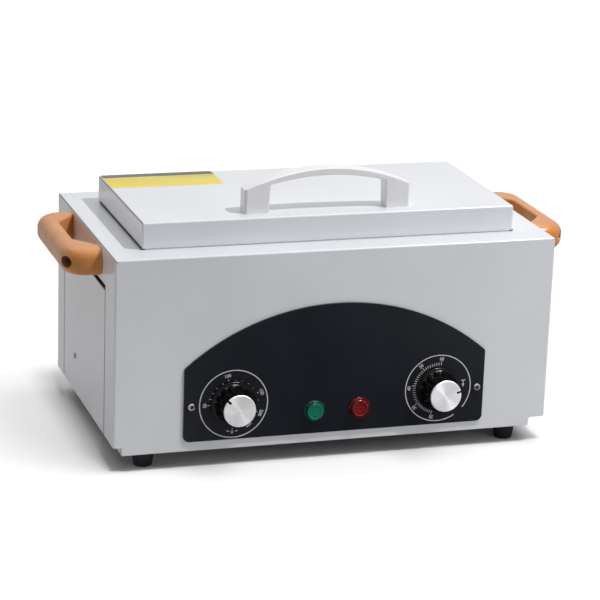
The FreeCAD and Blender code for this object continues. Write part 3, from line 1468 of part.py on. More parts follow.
# Wire bails at the ends of the basket, for lifting it out.
def basket_handles():
    solids = []
    level = d.tank_floor + d.basket_height - d.bail_drop
    high = level + d.bail_rise
    inner = d.basket_half_length - d.tank_gauge
    near = d.middle - d.bail_half_width
    far = d.middle + d.bail_half_width
    for side in (-1, 1):
        x = (inner - d.bail_inset) * side
        points = [(inner * side, near, level), (x, near, level), (x, near, high), (x, far, high), (x, far, level),
                  (inner * side, far, level)]
        solids.append(tube(points, [3, 7, 7, 3], d.bail_radius))
    formed("basket_handles", solids)


def everything():
    cabinet_shell()
    side_panel("side_panel_left", -1)
    side_panel("side_panel_right", 1)
    back_panel()
    base_tray()
    for depth_word, y in (("front", -1), ("back", 1)):
        for side_word, x in (("left", -1), ("right", 1)):
            foot(f"foot_{depth_word}_{side_word}", x, y)
    control_plate()
    knob_grip("temperature_knob_grip", -d.dial_x)
    knob_cap("temperature_knob_cap", -d.dial_x, d.temperature_pointer.number)
    control_shaft("thermostat_shaft", -d.dial_x)
    knob_grip("timer_knob_grip", d.dial_x)
    knob_cap("timer_knob_cap", d.dial_x, d.timer_pointer.number)
    control_shaft("timer_shaft", d.dial_x)
    control_body("thermostat_body", -d.dial_x, d.stat_half_width, d.stat_low, d.stat_top, d.stat_depth,
                 d.stat_blade_level)
    control_body("timer_body", d.dial_x, d.timer_half_width, d.timer_low, d.timer_top, d.timer_depth,
                 d.timer_blade_level)
    bush_nut("thermostat_nut", -d.dial_x)
    bush_nut("timer_nut", d.dial_x)
    lamp_lens("green_lamp_lens", d.green_lamp_x)
    lamp_lens("red_lamp_lens", d.red_lamp_x)
    lamp_holder("green_lamp_holder", d.green_lamp_x)
    lamp_holder("red_lamp_holder", d.red_lamp_x)
    inner_tank()
    tank_insulation()
    heat_shield()
    instrument_basket()
    basket_handles()
    heater_element()
    heater_clips()
    overheat_cutout()
    thermostat_bulb()
    terminal_block()
    wiring_loom()
    earth_stud()
    lid_shell()
    lid_liner()
    lid_insulation()
    lid_handle()
    hinge(-1)
    hinge(1)
    side_handle("side_handle_left", -1)
    side_handle("side_handle_right", 1)
    cable_gland()
    gland_locknut()
    all_fasteners()


everything()
doc.recompute()

for item in doc.Objects:
    if "Invalid" in item.State or "Error" in item.State:
        raise ValueError(f"{item.Name} failed: {item.State}")
for piece in nodes:
    if piece.Shape.isNull() or not piece.Shape.isValid() or not piece.Shape.Solids:
        raise ValueError(f"{piece.Label} has no valid solid")

os.makedirs("parts", exist_ok=True)
for piece in nodes:
    piece.Shape.exportStep(f"parts/{piece.Label}.step")
    box = piece.Shape.BoundBox
    print(f"{piece.Label:28s} solids {len(piece.Shape.Solids):2d}  volume {piece.Shape.Volume:12.1f}"
          f"  x {box.XMin:8.2f} {box.XMax:8.2f}  y {box.YMin:8.2f} {box.YMax:8.2f}  z {box.ZMin:7.2f} {box.ZMax:7.2f}")
print(len(nodes), "sub-parts")
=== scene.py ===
import json
from math import cos, pi, radians, sin

import bmesh
import bpy
from mathutils import Matrix, Vector


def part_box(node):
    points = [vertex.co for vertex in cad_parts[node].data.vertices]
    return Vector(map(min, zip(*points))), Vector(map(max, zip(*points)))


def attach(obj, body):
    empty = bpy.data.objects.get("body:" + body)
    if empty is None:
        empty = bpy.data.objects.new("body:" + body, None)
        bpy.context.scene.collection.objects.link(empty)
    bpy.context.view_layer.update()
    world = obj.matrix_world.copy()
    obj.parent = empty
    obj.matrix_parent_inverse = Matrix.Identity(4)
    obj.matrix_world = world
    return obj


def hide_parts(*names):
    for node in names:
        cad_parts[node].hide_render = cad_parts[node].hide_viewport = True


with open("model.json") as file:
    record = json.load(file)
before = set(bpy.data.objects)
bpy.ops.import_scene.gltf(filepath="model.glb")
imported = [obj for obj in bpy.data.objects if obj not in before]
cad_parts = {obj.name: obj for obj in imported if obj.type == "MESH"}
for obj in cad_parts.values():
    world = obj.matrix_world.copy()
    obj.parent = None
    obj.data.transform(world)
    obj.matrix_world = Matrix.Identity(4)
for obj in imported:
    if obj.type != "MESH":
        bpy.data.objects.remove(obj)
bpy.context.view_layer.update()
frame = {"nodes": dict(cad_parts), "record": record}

# Dry heat sterilizer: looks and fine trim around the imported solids. Metres, Z up, front towards -Y.

mm = 0.001
nodes = frame["nodes"]
scene = bpy.context.scene
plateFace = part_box("control_plate")[0].y
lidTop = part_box("lid_shell")[1].z
toFront = Matrix.Rotation(pi / 2, 4, "X")


# Small tools.

def linearColour(code):
    # hex sRGB to the linear values that the shader sockets take
    parts = [int(code[i:i + 2], 16) / 255 for i in (1, 3, 5)]
    return [p / 12.92 if p <= 0.04045 else ((p + 0.055) / 1.055) ** 2.4 for p in parts] + [1.0]


def addNode(tree, kind, inputs=None, **settings):
    # an input is a plain value, or the socket that feeds it
    node = tree.nodes.new(kind)
    for name, value in settings.items():
        setattr(node, name, value)
    for name, value in (inputs or {}).items():
        if isinstance(value, bpy.types.NodeSocket):
            tree.links.new(value, node.inputs[name])
        else:
            node.inputs[name].default_value = value
    return node


def mathOf(tree, operation, *values):
    return addNode(tree, "ShaderNodeMath", dict(enumerate(values)), operation=operation).outputs[0]


def startMaterial(name, colour, **values):
    material = bpy.data.materials.new(name)
    material.use_nodes = True
    tree = material.node_tree
    tree.nodes.clear()
    shader = addNode(tree, "ShaderNodeBsdfPrincipled", {"Base Color": linearColour(colour)})
    for socket, value in values.items():
        shader.inputs[socket.replace("_", " ")].default_value = value
    addNode(tree, "ShaderNodeOutputMaterial", {"Surface": shader.outputs[0]})
    place = addNode(tree, "ShaderNodeTexCoord").outputs["Object"]
    material.diffuse_color = linearColour(colour)
    return material, tree, shader, place


def noiseAt(tree, place, size, detail=2.0, stretch=None):
    # noise whose grains are about this many metres across
    if stretch:
        place = addNode(tree, "ShaderNodeMapping", {"Vector": place, "Scale": stretch}).outputs[0]
    return addNode(tree, "ShaderNodeTexNoise", {"Vector": place, "Scale": 1 / size, "Detail": detail}).outputs["Fac"]


def rangeOf(tree, value, low, high, fromLow=0.3, fromHigh=0.7):
    return addNode(tree, "ShaderNodeMapRange", {"Value": value, "From Min": fromLow, "From Max": fromHigh,
                                                "To Min": low, "To Max": high}).outputs[0]


def cloudOf(tree, place, size, stretch=None):
    # slow patches from 0 to 1, about this many mm across
    return rangeOf(tree, noiseAt(tree, place, size * mm, 3, stretch), 0, 1)


def splitOf(tree, place):
    return addNode(tree, "ShaderNodeSeparateXYZ", {"Vector": place}).outputs


def vectorOf(tree, operation, *values):
    return addNode(tree, "ShaderNodeVectorMath", dict(enumerate(values)), operation=operation).outputs


def offsetOf(tree, value, middle):
    return mathOf(tree, "ABSOLUTE", mathOf(tree, "SUBTRACT", value, middle))


def distanceOf(tree, *legs):
    squares = [mathOf(tree, "MULTIPLY", leg, leg) for leg in legs]
    return mathOf(tree, "SQRT", mathOf(tree, "ADD", *squares))


def aboutAxis(tree, place, centre):
    # arm from an axis along Y through the centre, and how long it is
    arm = vectorOf(tree, "SUBTRACT", place, centre)[0]
    flat = vectorOf(tree, "MULTIPLY", arm, (1, 0, 1))[0]
    return flat, vectorOf(tree, "LENGTH", flat)["Value"]


def blendOf(tree, value, first, second):
    # two colours, each a hex code or a socket, mixed by a value from 0 to 1
    colours = [linearColour(c) if isinstance(c, str) else c for c in (first, second)]
    return addNode(tree, "ShaderNodeMix", {0: value, 6: colours[0], 7: colours[1]}, data_type="RGBA").outputs[2]


def feed(tree, shader, socket, value):
    tree.links.new(value, shader.inputs[socket])


def bumpOf(tree, shader, height, depth, strength=1.0, under=None):
    inputs = {"Height": height, "Distance": depth, "Strength": strength}
    if under is not None:
        inputs["Normal"] = under
    bump = addNode(tree, "ShaderNodeBump", inputs)
    feed(tree, shader, "Normal", bump.outputs[0])
    return bump.outputs[0]


def surface(name, dark, light, cloud, gloss, grain, depth, stretch=None, **values):
    # clouded colour, patchy gloss and a fine grain: sizes and depth in mm, gloss as lowest and highest roughness
    material, tree, shader, place = startMaterial(name, light, **values)
    feed(tree, shader, "Base Color", blendOf(tree, cloudOf(tree, place, cloud, stretch), dark, light))
    fine = noiseAt(tree, place, grain * mm, 3, stretch)
    patches = noiseAt(tree, place, grain * 5 * mm, 3, stretch)
    feed(tree, shader, "Roughness", rangeOf(tree, patches, *gloss))
    bump = bumpOf(tree, shader, fine, depth * mm)
    return material, tree, shader, place, bump


# Materials. Each is named for the real material and for how it was made.

paints = {"white": ("#E5E7EB", "#EBEDF2"), "plate": ("#171922", "#1B1E27"), "handle": ("#F0F0F2", "#F5F5F7"),
          "caramel": ("#CF8039", "#DC9048"), "grip": ("#050506", "#08080A"), "ink": ("#D2D3D7", "#E4E5E8"),
          "stickerYellow": ("#E9D22C", "#EBD634"), "stickerBand": ("#2E2B28", "#383430"),
          "green": ("#023228", "#056850"), "red": ("#4A0609", "#860C13")}


# top side folds of the lid and of the cabinet, as distance from the middle and level
folds = [(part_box(name)[1].x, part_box(name)[1].z) for name in ("lid_shell", "cabinet_shell")]

# painted shade lines on the powder coat, along the top side folds and along the side panels' seams: places and
# distances in mm, strengths from 0 to 1
paintedCoatShade = {"foldShade": "#4E5156", "foldShadeShown": 0.85, "foldShadeNear": 0.7, "foldShadeFar": 1.25,
            "seamShade": "#5A5C61", "seamShadeShown": 0.85, "seamShadeNear": 0.8, "seamShadeFar": 1.6,
            "seams": (-70.5, 78.0), "seamTop": 144.0, "skin": 2.0}


def powderCoat():
    # Polyester powder, baked on sheet steel: even white, with a fine orange peel that softens its shine and the
    # slow waves of thin sheet in its reflections; a grey line of painted shade runs along the top side folds, where
    # the bends look dark, and a dark band of painted shade lies along the seams of the side panels.
    dark, light = paints["white"]
    shadeLines, cloud = paintedCoatShade, 90
    material, tree, shader, place, peel = surface("powderCoatedSteel", dark, light, cloud, (0.30, 0.38), 1.5, 0.006,
                                                  Coat_Weight=0.5, Coat_Roughness=0.13)
    split = splitOf(tree, place)
    side = mathOf(tree, "ABSOLUTE", split["X"])
    lines = [distanceOf(tree, mathOf(tree, "SUBTRACT", side, reach), mathOf(tree, "SUBTRACT", split["Z"], level))
             for reach, level in folds]
    # painted shade: a grey line along the top side folds of the lid and of the cabinet
    foldShade = rangeOf(tree, mathOf(tree, "MINIMUM", *lines), shadeLines["foldShadeShown"], 0,
                   shadeLines["foldShadeNear"] * mm, shadeLines["foldShadeFar"] * mm)
    # painted shade: a dark band along the seams of the side panels, below the top strip and on the outer skin only
    seams = [offsetOf(tree, split["Y"], seam * mm) for seam in shadeLines["seams"]]
    seamShading = rangeOf(tree, mathOf(tree, "MINIMUM", *seams), shadeLines["seamShadeShown"], 0,
                    shadeLines["seamShadeNear"] * mm, shadeLines["seamShadeFar"] * mm)
    below = rangeOf(tree, split["Z"], 1, 0, shadeLines["seamTop"] * mm, (shadeLines["seamTop"] + 1) * mm)
    reach = folds[1][0]
    outside = rangeOf(tree, side, 0, 1, reach - shadeLines["skin"] * mm, reach - shadeLines["skin"] / 2 * mm)
    seamShading = mathOf(tree, "MULTIPLY", seamShading, mathOf(tree, "MULTIPLY", below, outside))
    coated = blendOf(tree, seamShading, blendOf(tree, cloudOf(tree, place, cloud), dark, light), shadeLines["seamShade"])
    feed(tree, shader, "Base Color", blendOf(tree, foldShade, coated, shadeLines["foldShade"]))
    wave = bumpOf(tree, shader, noiseAt(tree, place, 75 * mm, 1), 0.20 * mm, 0.5, peel)
    specks = rangeOf(tree, noiseAt(tree, place, 0.5 * mm, 1), 0, 1, 0.72, 0.8)
    bumpOf(tree, shader, specks, 0.012 * mm, 0.5, wave)
    return material


def lacqueredAluminium():
    # Anodised and lacquered aluminium sheet: near-black satin, its rolling lines just felt in the soft glare.
    dark, light = paints["plate"]
    material, tree, shader, place, grain = surface("lacqueredAluminiumSheet", dark, light, 40, (0.32, 0.38), 0.6,
                                                   0.006, Specular_IOR_Level=0.32)
    lines = noiseAt(tree, place, 0.35 * mm, 2, (0.04, 1, 1))
    bumpOf(tree, shader, lines, 0.003 * mm, 0.6, grain)
    return material


def zincSheet():
    # Hot-dip galvanised sheet: crystals of zinc in flat greys, each with a gloss of its own.
    material, tree, shader, place, grain = surface("hotDipGalvanisedSheet", "#A4A8AB", "#BEC2C5", 25, (0.34, 0.5),
                                                   0.8, 0.006, Metallic=1.0)
    crystals = addNode(tree, "ShaderNodeTexVoronoi", {"Vector": place, "Scale": 1 / (9 * mm), "Randomness": 1.0})
    tone = addNode(tree, "ShaderNodeSeparateColor", {"Color": crystals.outputs["Color"]}).outputs[0]
    feed(tree, shader, "Base Color", blendOf(tree, tone, "#9BA0A4", "#C8CBCE"))
    feed(tree, shader, "Roughness", rangeOf(tree, tone, 0.3, 0.5, 0, 1))
    bumpOf(tree, shader, tone, 0.01 * mm, 0.6, grain)
    return material


def brushedSteel(name, dark, light, gloss, along, depth=0.006, anisotropic=0.5):
    # Cold-rolled stainless, brushed along one axis: long hairlines that draw each highlight out across them.
    stretch = [0.03 if axis == along else 1.0 for axis in "xyz"]
    material, tree, shader, place, grain = surface(name, dark, light, 30, gloss, 0.45, depth, stretch,
                                                   Metallic=1.0, Anisotropic=anisotropic)
    bumpOf(tree, shader, noiseAt(tree, place, 60 * mm, 2), 0.15 * mm, 0.5, grain)
    smudge = noiseAt(tree, place, 22 * mm, 4)
    lines = rangeOf(tree, noiseAt(tree, place, 2.0 * mm, 3, stretch), *gloss)
    feed(tree, shader, "Roughness", mathOf(tree, "ADD", lines, rangeOf(tree, smudge, 0, 0.08, 0.45, 0.75)))
    return material


def spunAluminium(name, centre):
    # Diamond-turned aluminium disc: rings round its middle that fan the light out in two pale wedges.
    material, tree, shader, place, grain = surface(name, "#EAEAEC", "#F4F4F6", 12, (0.34, 0.42), 0.5, 0.002,
                                                   Metallic=0.5, Anisotropic=0.7)
    ringWidth = 0.32 * mm
    flat, radius = aboutAxis(tree, place, centre)
    rings = mathOf(tree, "SINE", mathOf(tree, "MULTIPLY", radius, 2 * pi / ringWidth))
    bumpOf(tree, shader, rings, 0.0016 * mm, 1.0, grain)
    around = vectorOf(tree, "CROSS_PRODUCT", flat, (0, 1, 0))[0]
    turned = addNode(tree, "ShaderNodeVectorTransform", {"Vector": around}, vector_type="VECTOR",
                     convert_from="OBJECT", convert_to="WORLD").outputs[0]
    feed(tree, shader, "Tangent", vectorOf(tree, "NORMALIZE", turned)[0])
    return material


def recessedNickel(centre):
    # Bright nickel over a pressed cross recess: mirror-like on the crown, with the cross where the driver sits
    # painted near black as shade.
    dark, light, cloud = "#CFCCC4", "#E8E5DE", 2.5
    material, tree, shader, place, _ = surface("brightNickelScrews", dark, light, cloud, (0.08, 0.16), 0.5, 0.003,
                                               Metallic=1.0)
    split = splitOf(tree, place)
    across = offsetOf(tree, mathOf(tree, "ABSOLUTE", split["X"]), centre[0])
    along = offsetOf(tree, split["Z"], centre[1])
    # painted shade: the cross recess painted near black
    arms = rangeOf(tree, mathOf(tree, "MINIMUM", across, along), 1, 0, 0.45 * mm, 0.75 * mm)
    ends = rangeOf(tree, mathOf(tree, "MAXIMUM", across, along), 1, 0, 1.7 * mm, 2.0 * mm)
    recessShade = mathOf(tree, "MULTIPLY", arms, ends)
    shine = blendOf(tree, cloudOf(tree, place, cloud), dark, light)
    feed(tree, shader, "Base Color", blendOf(tree, recessShade, shine, "#0C0C0C"))
    return material


def heatedSheath():
    # Tubular heater sheath after some hours at red heat: straw, brown and blue oxide on dulled steel.
    material, tree, shader, place, _ = surface("heatStainedSteelTube", "#3C322C", "#6B6258", 14, (0.4, 0.6), 0.6,
                                               0.01, Metallic=1.0)
    brown = blendOf(tree, cloudOf(tree, place, 7), "#4A3A2C", "#7A6A58")
    feed(tree, shader, "Base Color", blendOf(tree, cloudOf(tree, place, 18), brown, "#3A4048"))
    return material


def mouldedPhenolic(name, paint, gloss, depth=0.006, **values):
    dark, light = paints[paint]
    material, tree, shader, place, grain = surface(name, dark, light, 16, gloss, 0.9, depth, **values)
    flow = noiseAt(tree, place, 9 * mm, 4, (1, 0.35, 1.6))
    bumpOf(tree, shader, flow, 0.02 * mm, 0.5, grain)
    return material, tree, shader, place


def phenolic(*values, **more):
    # Compression-moulded phenolic: deep colour with a faint marbling of flow, under a hard moulded gloss.
    return mouldedPhenolic(*values, **more)[0]


def caramelPhenolic(bore):
    # The side handles' phenolic: tan, evenly moulded, glossy where hands rub it; down in the deep counterbores it is
    # painted nearly black as shade.
    material, tree, shader, place = mouldedPhenolic("mouldedCaramelPhenolic", "caramel", (0.30, 0.38), 0.012,
                                                    Coat_Weight=0.35, Coat_Roughness=0.16)
    split = splitOf(tree, place)
    middle, level, radius = bore
    apart = distanceOf(tree, mathOf(tree, "SUBTRACT", mathOf(tree, "ABSOLUTE", split["Y"]), middle),
                       mathOf(tree, "SUBTRACT", split["Z"], level))
    # painted shade: nearly black inside the counterbores
    boreShade = rangeOf(tree, apart, 0.9, 0.0, radius, radius + 0.3 * mm)
    unshadedTan = blendOf(tree, cloudOf(tree, place, 16), *paints["caramel"])
    feed(tree, shader, "Base Color", blendOf(tree, boreShade, unshadedTan, "#2A1408"))
    return material


def mineralWool():
    # Needled mineral wool board: matted pale fibres with darker gaps, no shine at all.
    material, tree, shader, place, grain = surface("needledMineralWool", "#B5A982", "#DDD3B0", 6, (0.9, 1.0), 0.7,
                                                   0.5, (1, 1, 0.3), Sheen_Weight=0.3)
    tufts = noiseAt(tree, place, 4 * mm, 5, (1, 1, 0.4))
    bumpOf(tree, shader, tufts, 0.9 * mm, 1.0, grain)
    return material


def braidedSleeve():
    # Glass-fibre braid over silicone lead: cream yarns crossing on the bias.
    material, tree, shader, place, grain = surface("braidedGlassSleeve", "#CFC8B6", "#E8E3D4", 5, (0.6, 0.8), 0.3,
                                                   0.02, Sheen_Weight=0.2)
    bias = radians(45)
    # at scale 1 the wave texture turns 20 radians in a metre; here one radian takes this much
    radianLength = 1.2 * mm
    bands = []
    for lean in (bias, -bias):
        turned = addNode(tree, "ShaderNodeMapping", {"Vector": place, "Rotation": (0, lean, bias)}).outputs[0]
        bands.append(addNode(tree, "ShaderNodeTexWave", {"Vector": turned, "Scale": 1 / radianLength / 20,
                                                         "Distortion": 0.5}, wave_profile="SIN").outputs["Fac"])
    bumpOf(tree, shader, mathOf(tree, "MAXIMUM", *bands), 0.08 * mm, 1.0, grain)
    return material


def stickerFilm():
    # Printed vinyl film: a plain yellow field with one dark band along its back edge, under a clear laminate.
    edge = sticker["back"] - sticker["band"]
    material, tree, shader, place, grain = surface("printedVinylFilm", *paints["stickerYellow"], 14, (0.26, 0.30),
                                                   0.8, 0.001, Coat_Weight=0.25, Coat_Roughness=0.25)
    across = splitOf(tree, place)["Y"]
    cloud = cloudOf(tree, place, 12)
    yellow = blendOf(tree, cloud, *paints["stickerYellow"])
    band = blendOf(tree, cloud, *paints["stickerBand"])
    wander = mathOf(tree, "MULTIPLY", noiseAt(tree, place, 1.2 * mm, 1), 0.08 * mm)
    where = rangeOf(tree, mathOf(tree, "ADD", across, wander), 0, 1, edge * mm, (edge + sticker["blur"]) * mm)
    feed(tree, shader, "Base Color", blendOf(tree, where, yellow, band))
    bumpOf(tree, shader, noiseAt(tree, place, 45 * mm, 1), 0.05 * mm, 0.5, grain)
    return material


def lampShell(name, paint, centre):
    # Injection-moulded polycarbonate, tinted through: a glossy skin, thin over the bright insert that shows from
    # within, and thick and dark round the rim.
    material, tree, shader, place, _ = surface(name, *paints[paint], 5, (0.05, 0.09), 0.8, 0.003,
                                               Specular_IOR_Level=0.2, Coat_Weight=0.45, Coat_Roughness=0.03)
    radius = aboutAxis(tree, place, centre)[1]
    alpha = rangeOf(tree, radius, lamp["thinAlpha"], lamp["rimAlpha"], lamp["insertRadius"] * mm,
                    (lamp["insertRadius"] + 1) * mm)
    feed(tree, shader, "Alpha", alpha)
    return material


def plainFinish(*values, **more):
    return surface(*values, **more)[0]


def lampInsert(name, dark, light):
    # The ribbed diffuser inside the lamp: tinted and satin, with a faint painted glow, an emission of its lighter
    # shade, that stands in for the room's light passed on from its edges; the lamp is not lit.
    return plainFinish(name, dark, light, 1.5, (0.2, 0.35), 0.5, 0.01, Specular_IOR_Level=0.25,
                       Emission_Color=linearColour(light), Emission_Strength=0.05)


def printInk():
    # Screen-printed silver ink: a pale grey film, slightly mottled where the mesh let less ink through.
    return plainFinish("screenPrintedSilverInk", *paints["ink"], 0.8, (0.35, 0.5), 0.25, 0.004)


def handleBore():
    # place, level and radius of the counterbores, from the screws in them
    low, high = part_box("side_handle_screws")
    radius = (high.z - low.z) / 2
    return high.y - radius, (low.z + high.z) / 2, radius + 0.35 * mm


def makeFinishes():
    steel = {"Metallic": 1.0}
    return {
        "white_powder_coat": powderCoat(),
        "black_plate": lacqueredAluminium(),
        "galvanised_sheet": zincSheet(),
        # Bright zinc passivate: cool grey metal, slightly cloudy from the bath.
        "plated_steel": plainFinish("zincPlatedSteel", "#A9ADB1", "#C2C6CA", 9, (0.22, 0.38), 0.7, 0.006, **steel),
        "stainless_sheet": brushedSteel("brushedStainlessSheet", "#BDBBB7", "#D0CFCB", (0.2, 0.34), "x"),
        # Drawn spring wire: bright, with die lines along it.
        "stainless_wire": brushedSteel("drawnStainlessWire", "#C4C3C0", "#D8D7D4", (0.12, 0.22), "y", 0.003),
        # Bright nickel over steel: warm and glossy, dulled a little in the recesses.
        "nickel_plate": plainFinish("brightNickelPlate", "#CFCCC4", "#E4E1DA", 2.5, (0.10, 0.20), 0.5, 0.003,
                                    **steel),
        # Free-cutting brass, turned: yellow with short tool marks.
        "brass_stud": plainFinish("turnedBrass", "#B08B45", "#D2AE62", 4, (0.2, 0.34), 0.3, 0.006, **steel),
        # Drawn copper tube, handled: orange with brown fingerprints.
        "copper": plainFinish("drawnCopperTube", "#9A5A3C", "#CB8158", 8, (0.2, 0.4), 0.4, 0.004, **steel),
        "heater_sheath": heatedSheath(),
        "black_phenolic": phenolic("mouldedBlackPhenolic", "grip", (0.10, 0.15), 0.003,
                                   Specular_IOR_Level=0.33),
        "caramel_phenolic": caramelPhenolic(handleBore()),
        "white_handle": phenolic("mouldedWhiteNylon", "handle", (0.32, 0.40), 0.012),
        # Glass-filled nylon housings: charcoal with a fine spark-eroded texture.
        "moulded_housing": plainFinish("sparkTexturedNylon", "#1C1C1D", "#262627", 6, (0.5, 0.65), 0.4, 0.03),
        "black_nylon": plainFinish("turnedBlackNylon", "#121213", "#1B1B1D", 6, (0.35, 0.5), 0.5, 0.012),
        # Compression-moulded rubber: matt black with a dusty bloom.
        "black_rubber": plainFinish("mouldedNitrileRubber", "#141415", "#222223", 5, (0.62, 0.8), 0.6, 0.03),
        "mineral_wool": mineralWool(),
        # Fired steatite, unglazed: chalky cream with a sandy grain.
        "terminal_ceramic": plainFinish("firedSteatite", "#D8D1C2", "#EBE5D8", 4, (0.6, 0.75), 0.3, 0.03),
        "wire_sleeve": braidedSleeve(),
        # Zinc blind rivet, dulled by age: a grey hardly darker than the shaded side it sits in.
        "dark_rivet": plainFinish("dulledZincRivet", "#8E8F92", "#A6A7AA", 0.8, (0.4, 0.55), 0.3, 0.01),
    }


def dressNodes():
    for part in frame["record"]["subparts"]:
        name, slot = part["node"], part["material_slot"]
        low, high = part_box(name)
        if slot == "turned_aluminium":
            material = spunAluminium(name + "_spunAluminium", (low + high) / 2)
        elif name == "plate_screws":
            material = recessedNickel((high.x - (high.z - low.z) / 2, (low.z + high.z) / 2))
        elif slot in finishes:
            material = finishes[slot]
        else:
            continue
        nodes[name].data.materials.clear()
        nodes[name].data.materials.append(material)


# Pieces.

def makePiece(name, points, faces, material, body, smooth=None, slot=None):
    mesh = bpy.data.meshes.new(name)
    mesh.from_pydata([tuple(p) for p in points], [], faces)
    mesh.update()
    return finishPiece(name, mesh, material, body, smooth)


def finishPiece(name, mesh, material, body, smooth=None):
    shape = bmesh.new()
    shape.from_mesh(mesh)
    bmesh.ops.recalc_face_normals(shape, faces=shape.faces)
    shape.to_mesh(mesh)
    shape.free()
    mesh.materials.clear()
    mesh.materials.append(material)
    if smooth is not None:
        mesh.shade_smooth()
        mesh.set_sharp_from_angle(angle=radians(smooth))
    piece = bpy.data.objects.new(name, mesh)
    scene.collection.objects.link(piece)
    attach(piece, body)
    return piece


def lathe(profile, around, shape=None):
    # closed mesh turned about local Z from (radius, height) points in mm; shape may move a point's radius
    points = []
    faces = []
    for radius, height in profile:
        if radius == 0:
            points.append(Vector((0, 0, height)) * mm)
            continue
        for i in range(around):
            angle = 2 * pi * i / around
            reach = shape(radius, height, angle) if shape else radius
            points.append(Vector((reach * cos(angle), reach * sin(angle), height)) * mm)
    starts = []
    count = 0
    for radius, _ in profile:
        starts.append(count)
        count += 1 if radius == 0 else around
    for row in range(len(profile) - 1):
        a, b = starts[row], starts[row + 1]
        for i in range(around):
            j = (i + 1) % around
            if profile[row][0] == 0:
                faces.append((a, b + j, b + i))
            elif profile[row + 1][0] == 0:
                faces.append((a + i, a + j, b))
            else:
                faces.append((a + i, a + j, b + j, b + i))
    return points, faces


def ontoPlate(points, x, level, lift=0.0):
    # local Z comes straight out of the control plate, local Y is up
    move = Matrix.Translation((x * mm, plateFace - lift * mm, level * mm)) @ toFront
    return [move @ Vector(p) for p in points]


def roundedEdge(centreR, centreH, radius, start, stop, steps=5):
    angles = [radians(start + (stop - start) * i / steps) for i in range(steps + 1)]
    return [(centreR + radius * cos(a), centreH + radius * sin(a)) for a in angles]


def turnedPiece(name, profile, around, x, level, material, body, smooth, slot, shape=None, lift=0.0):
    # piece turned from its profile, standing on the control plate
    points, faces = lathe(profile, around, shape)
    return makePiece(name, ontoPlate(points, x, level, lift), faces, material, body, smooth, slot)


knob = {"length": 18.35, "skirt": 18.25, "skirtThick": 2.6, "collar": 0.5, "base": 16.0, "tip": 13.2, "steps": 14,
        "flutes": 14, "fluteDepth": 1.1, "fluteWidth": 0.72, "fluteRise": 2.2, "fluteSharp": 0.8, "flutePoints": 22,
        "crown": 1.5, "recess": 9.4, "recessDepth": 4.6, "gap": 0.5, "level": 52.6}
knobPlaces = {"temperature": -85.0, "timer": 85.0}


def fluted(radius, height, angle):
    # the flutes rise softly out of the collar over the skirt, and leave the crown's face round
    start = knob["skirtThick"] + knob["collar"]
    if height <= start or radius < knob["tip"] - knob["crown"]:
        return radius
    along = min((height - start) / knob["fluteRise"], 1.0)
    ease = along * along * (3 - 2 * along)
    turn = (angle * knob["flutes"] / (2 * pi)) % 1.0 - 0.5
    inside = min(abs(turn) * 2 / knob["fluteWidth"], 1.0)
    return radius - knob["fluteDepth"] * ease * (0.5 + 0.5 * cos(pi * inside)) ** knob["fluteSharp"]


def knobGrip(word):
    skirt, base, tip, top = knob["skirt"], knob["base"], knob["tip"], knob["length"]
    thick, collar, recess, depth = knob["skirtThick"], knob["collar"], knob["recess"], knob["recessDepth"]
    profile = [(0, depth), (recess - 0.3, depth), (recess, depth - 0.3), (recess, 0.3), (recess + 0.3, 0)]
    profile += roundedEdge(skirt - 0.5, 0.5, 0.5, -90, 0, 3)
    profile += roundedEdge(skirt - 0.9, thick - 0.9, 0.9, 0, 90, 6)
    profile += [(base + 0.7, thick + 0.02), (base + 0.25, thick + 0.18), (base, thick + collar)]
    for i in range(1, knob["steps"]):
        part = i / knob["steps"]
        profile.append((base + (tip - base) * part, thick + collar + (top - 1.1 - thick) * part))
    profile += roundedEdge(tip - 0.6, top - 0.6, 0.6, 8, 90, 5)
    profile += [(tip - 1.6, top), (0, top)]
    body = word + "_knob"
    grip = turnedPiece(word + "KnobGrip", profile, knob["flutes"] * knob["flutePoints"], knobPlaces[word],
                       knob["level"], finishes["black_phenolic"], body, 38, "black_phenolic", fluted, knob["gap"])
    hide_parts(body + "_grip")
    return grip


lamp = {"flange": 8.8, "flangeThick": 1.3, "base": 8.2, "tip": 7.4, "reach": 4.4, "edge": 1.5, "dome": 0.5,
        "stem": 5.9, "stemLength": 7.0, "insertRadius": 5.7, "insertLevel": 3.0, "insertThick": 1.0, "rim": 0.32,
        "ribs": 8, "ribWidth": 0.85, "level": 41.6, "thinAlpha": 0.3, "rimAlpha": 0.8}
# where each lamp sits, and its insert's shades from dark to light; the middle and light shades also make the painted
# highlight ring at the rim
lamps = {"green": (-18.0, "#008C72", "#00A88A", "#9FF0E0"), "red": (19.4, "#86060B", "#A20C14", "#F08A8A")}


def startGroup(name, inputs):
    # tree with these inputs and a material; also gives their sockets' identifiers and what they hand in
    tree = bpy.data.node_groups.new(name, "GeometryNodeTree")
    sockets = {}
    for label, kind, value in inputs + [("Material", "Material", None)]:
        item = tree.interface.new_socket(name=label, in_out="INPUT", socket_type="NodeSocket" + kind)
        if value is not None:
            item.default_value = value
        sockets[label] = item.identifier
    tree.interface.new_socket(name="Geometry", in_out="OUTPUT", socket_type="NodeSocketGeometry")
    return tree, sockets, addNode(tree, "NodeGroupInput").outputs


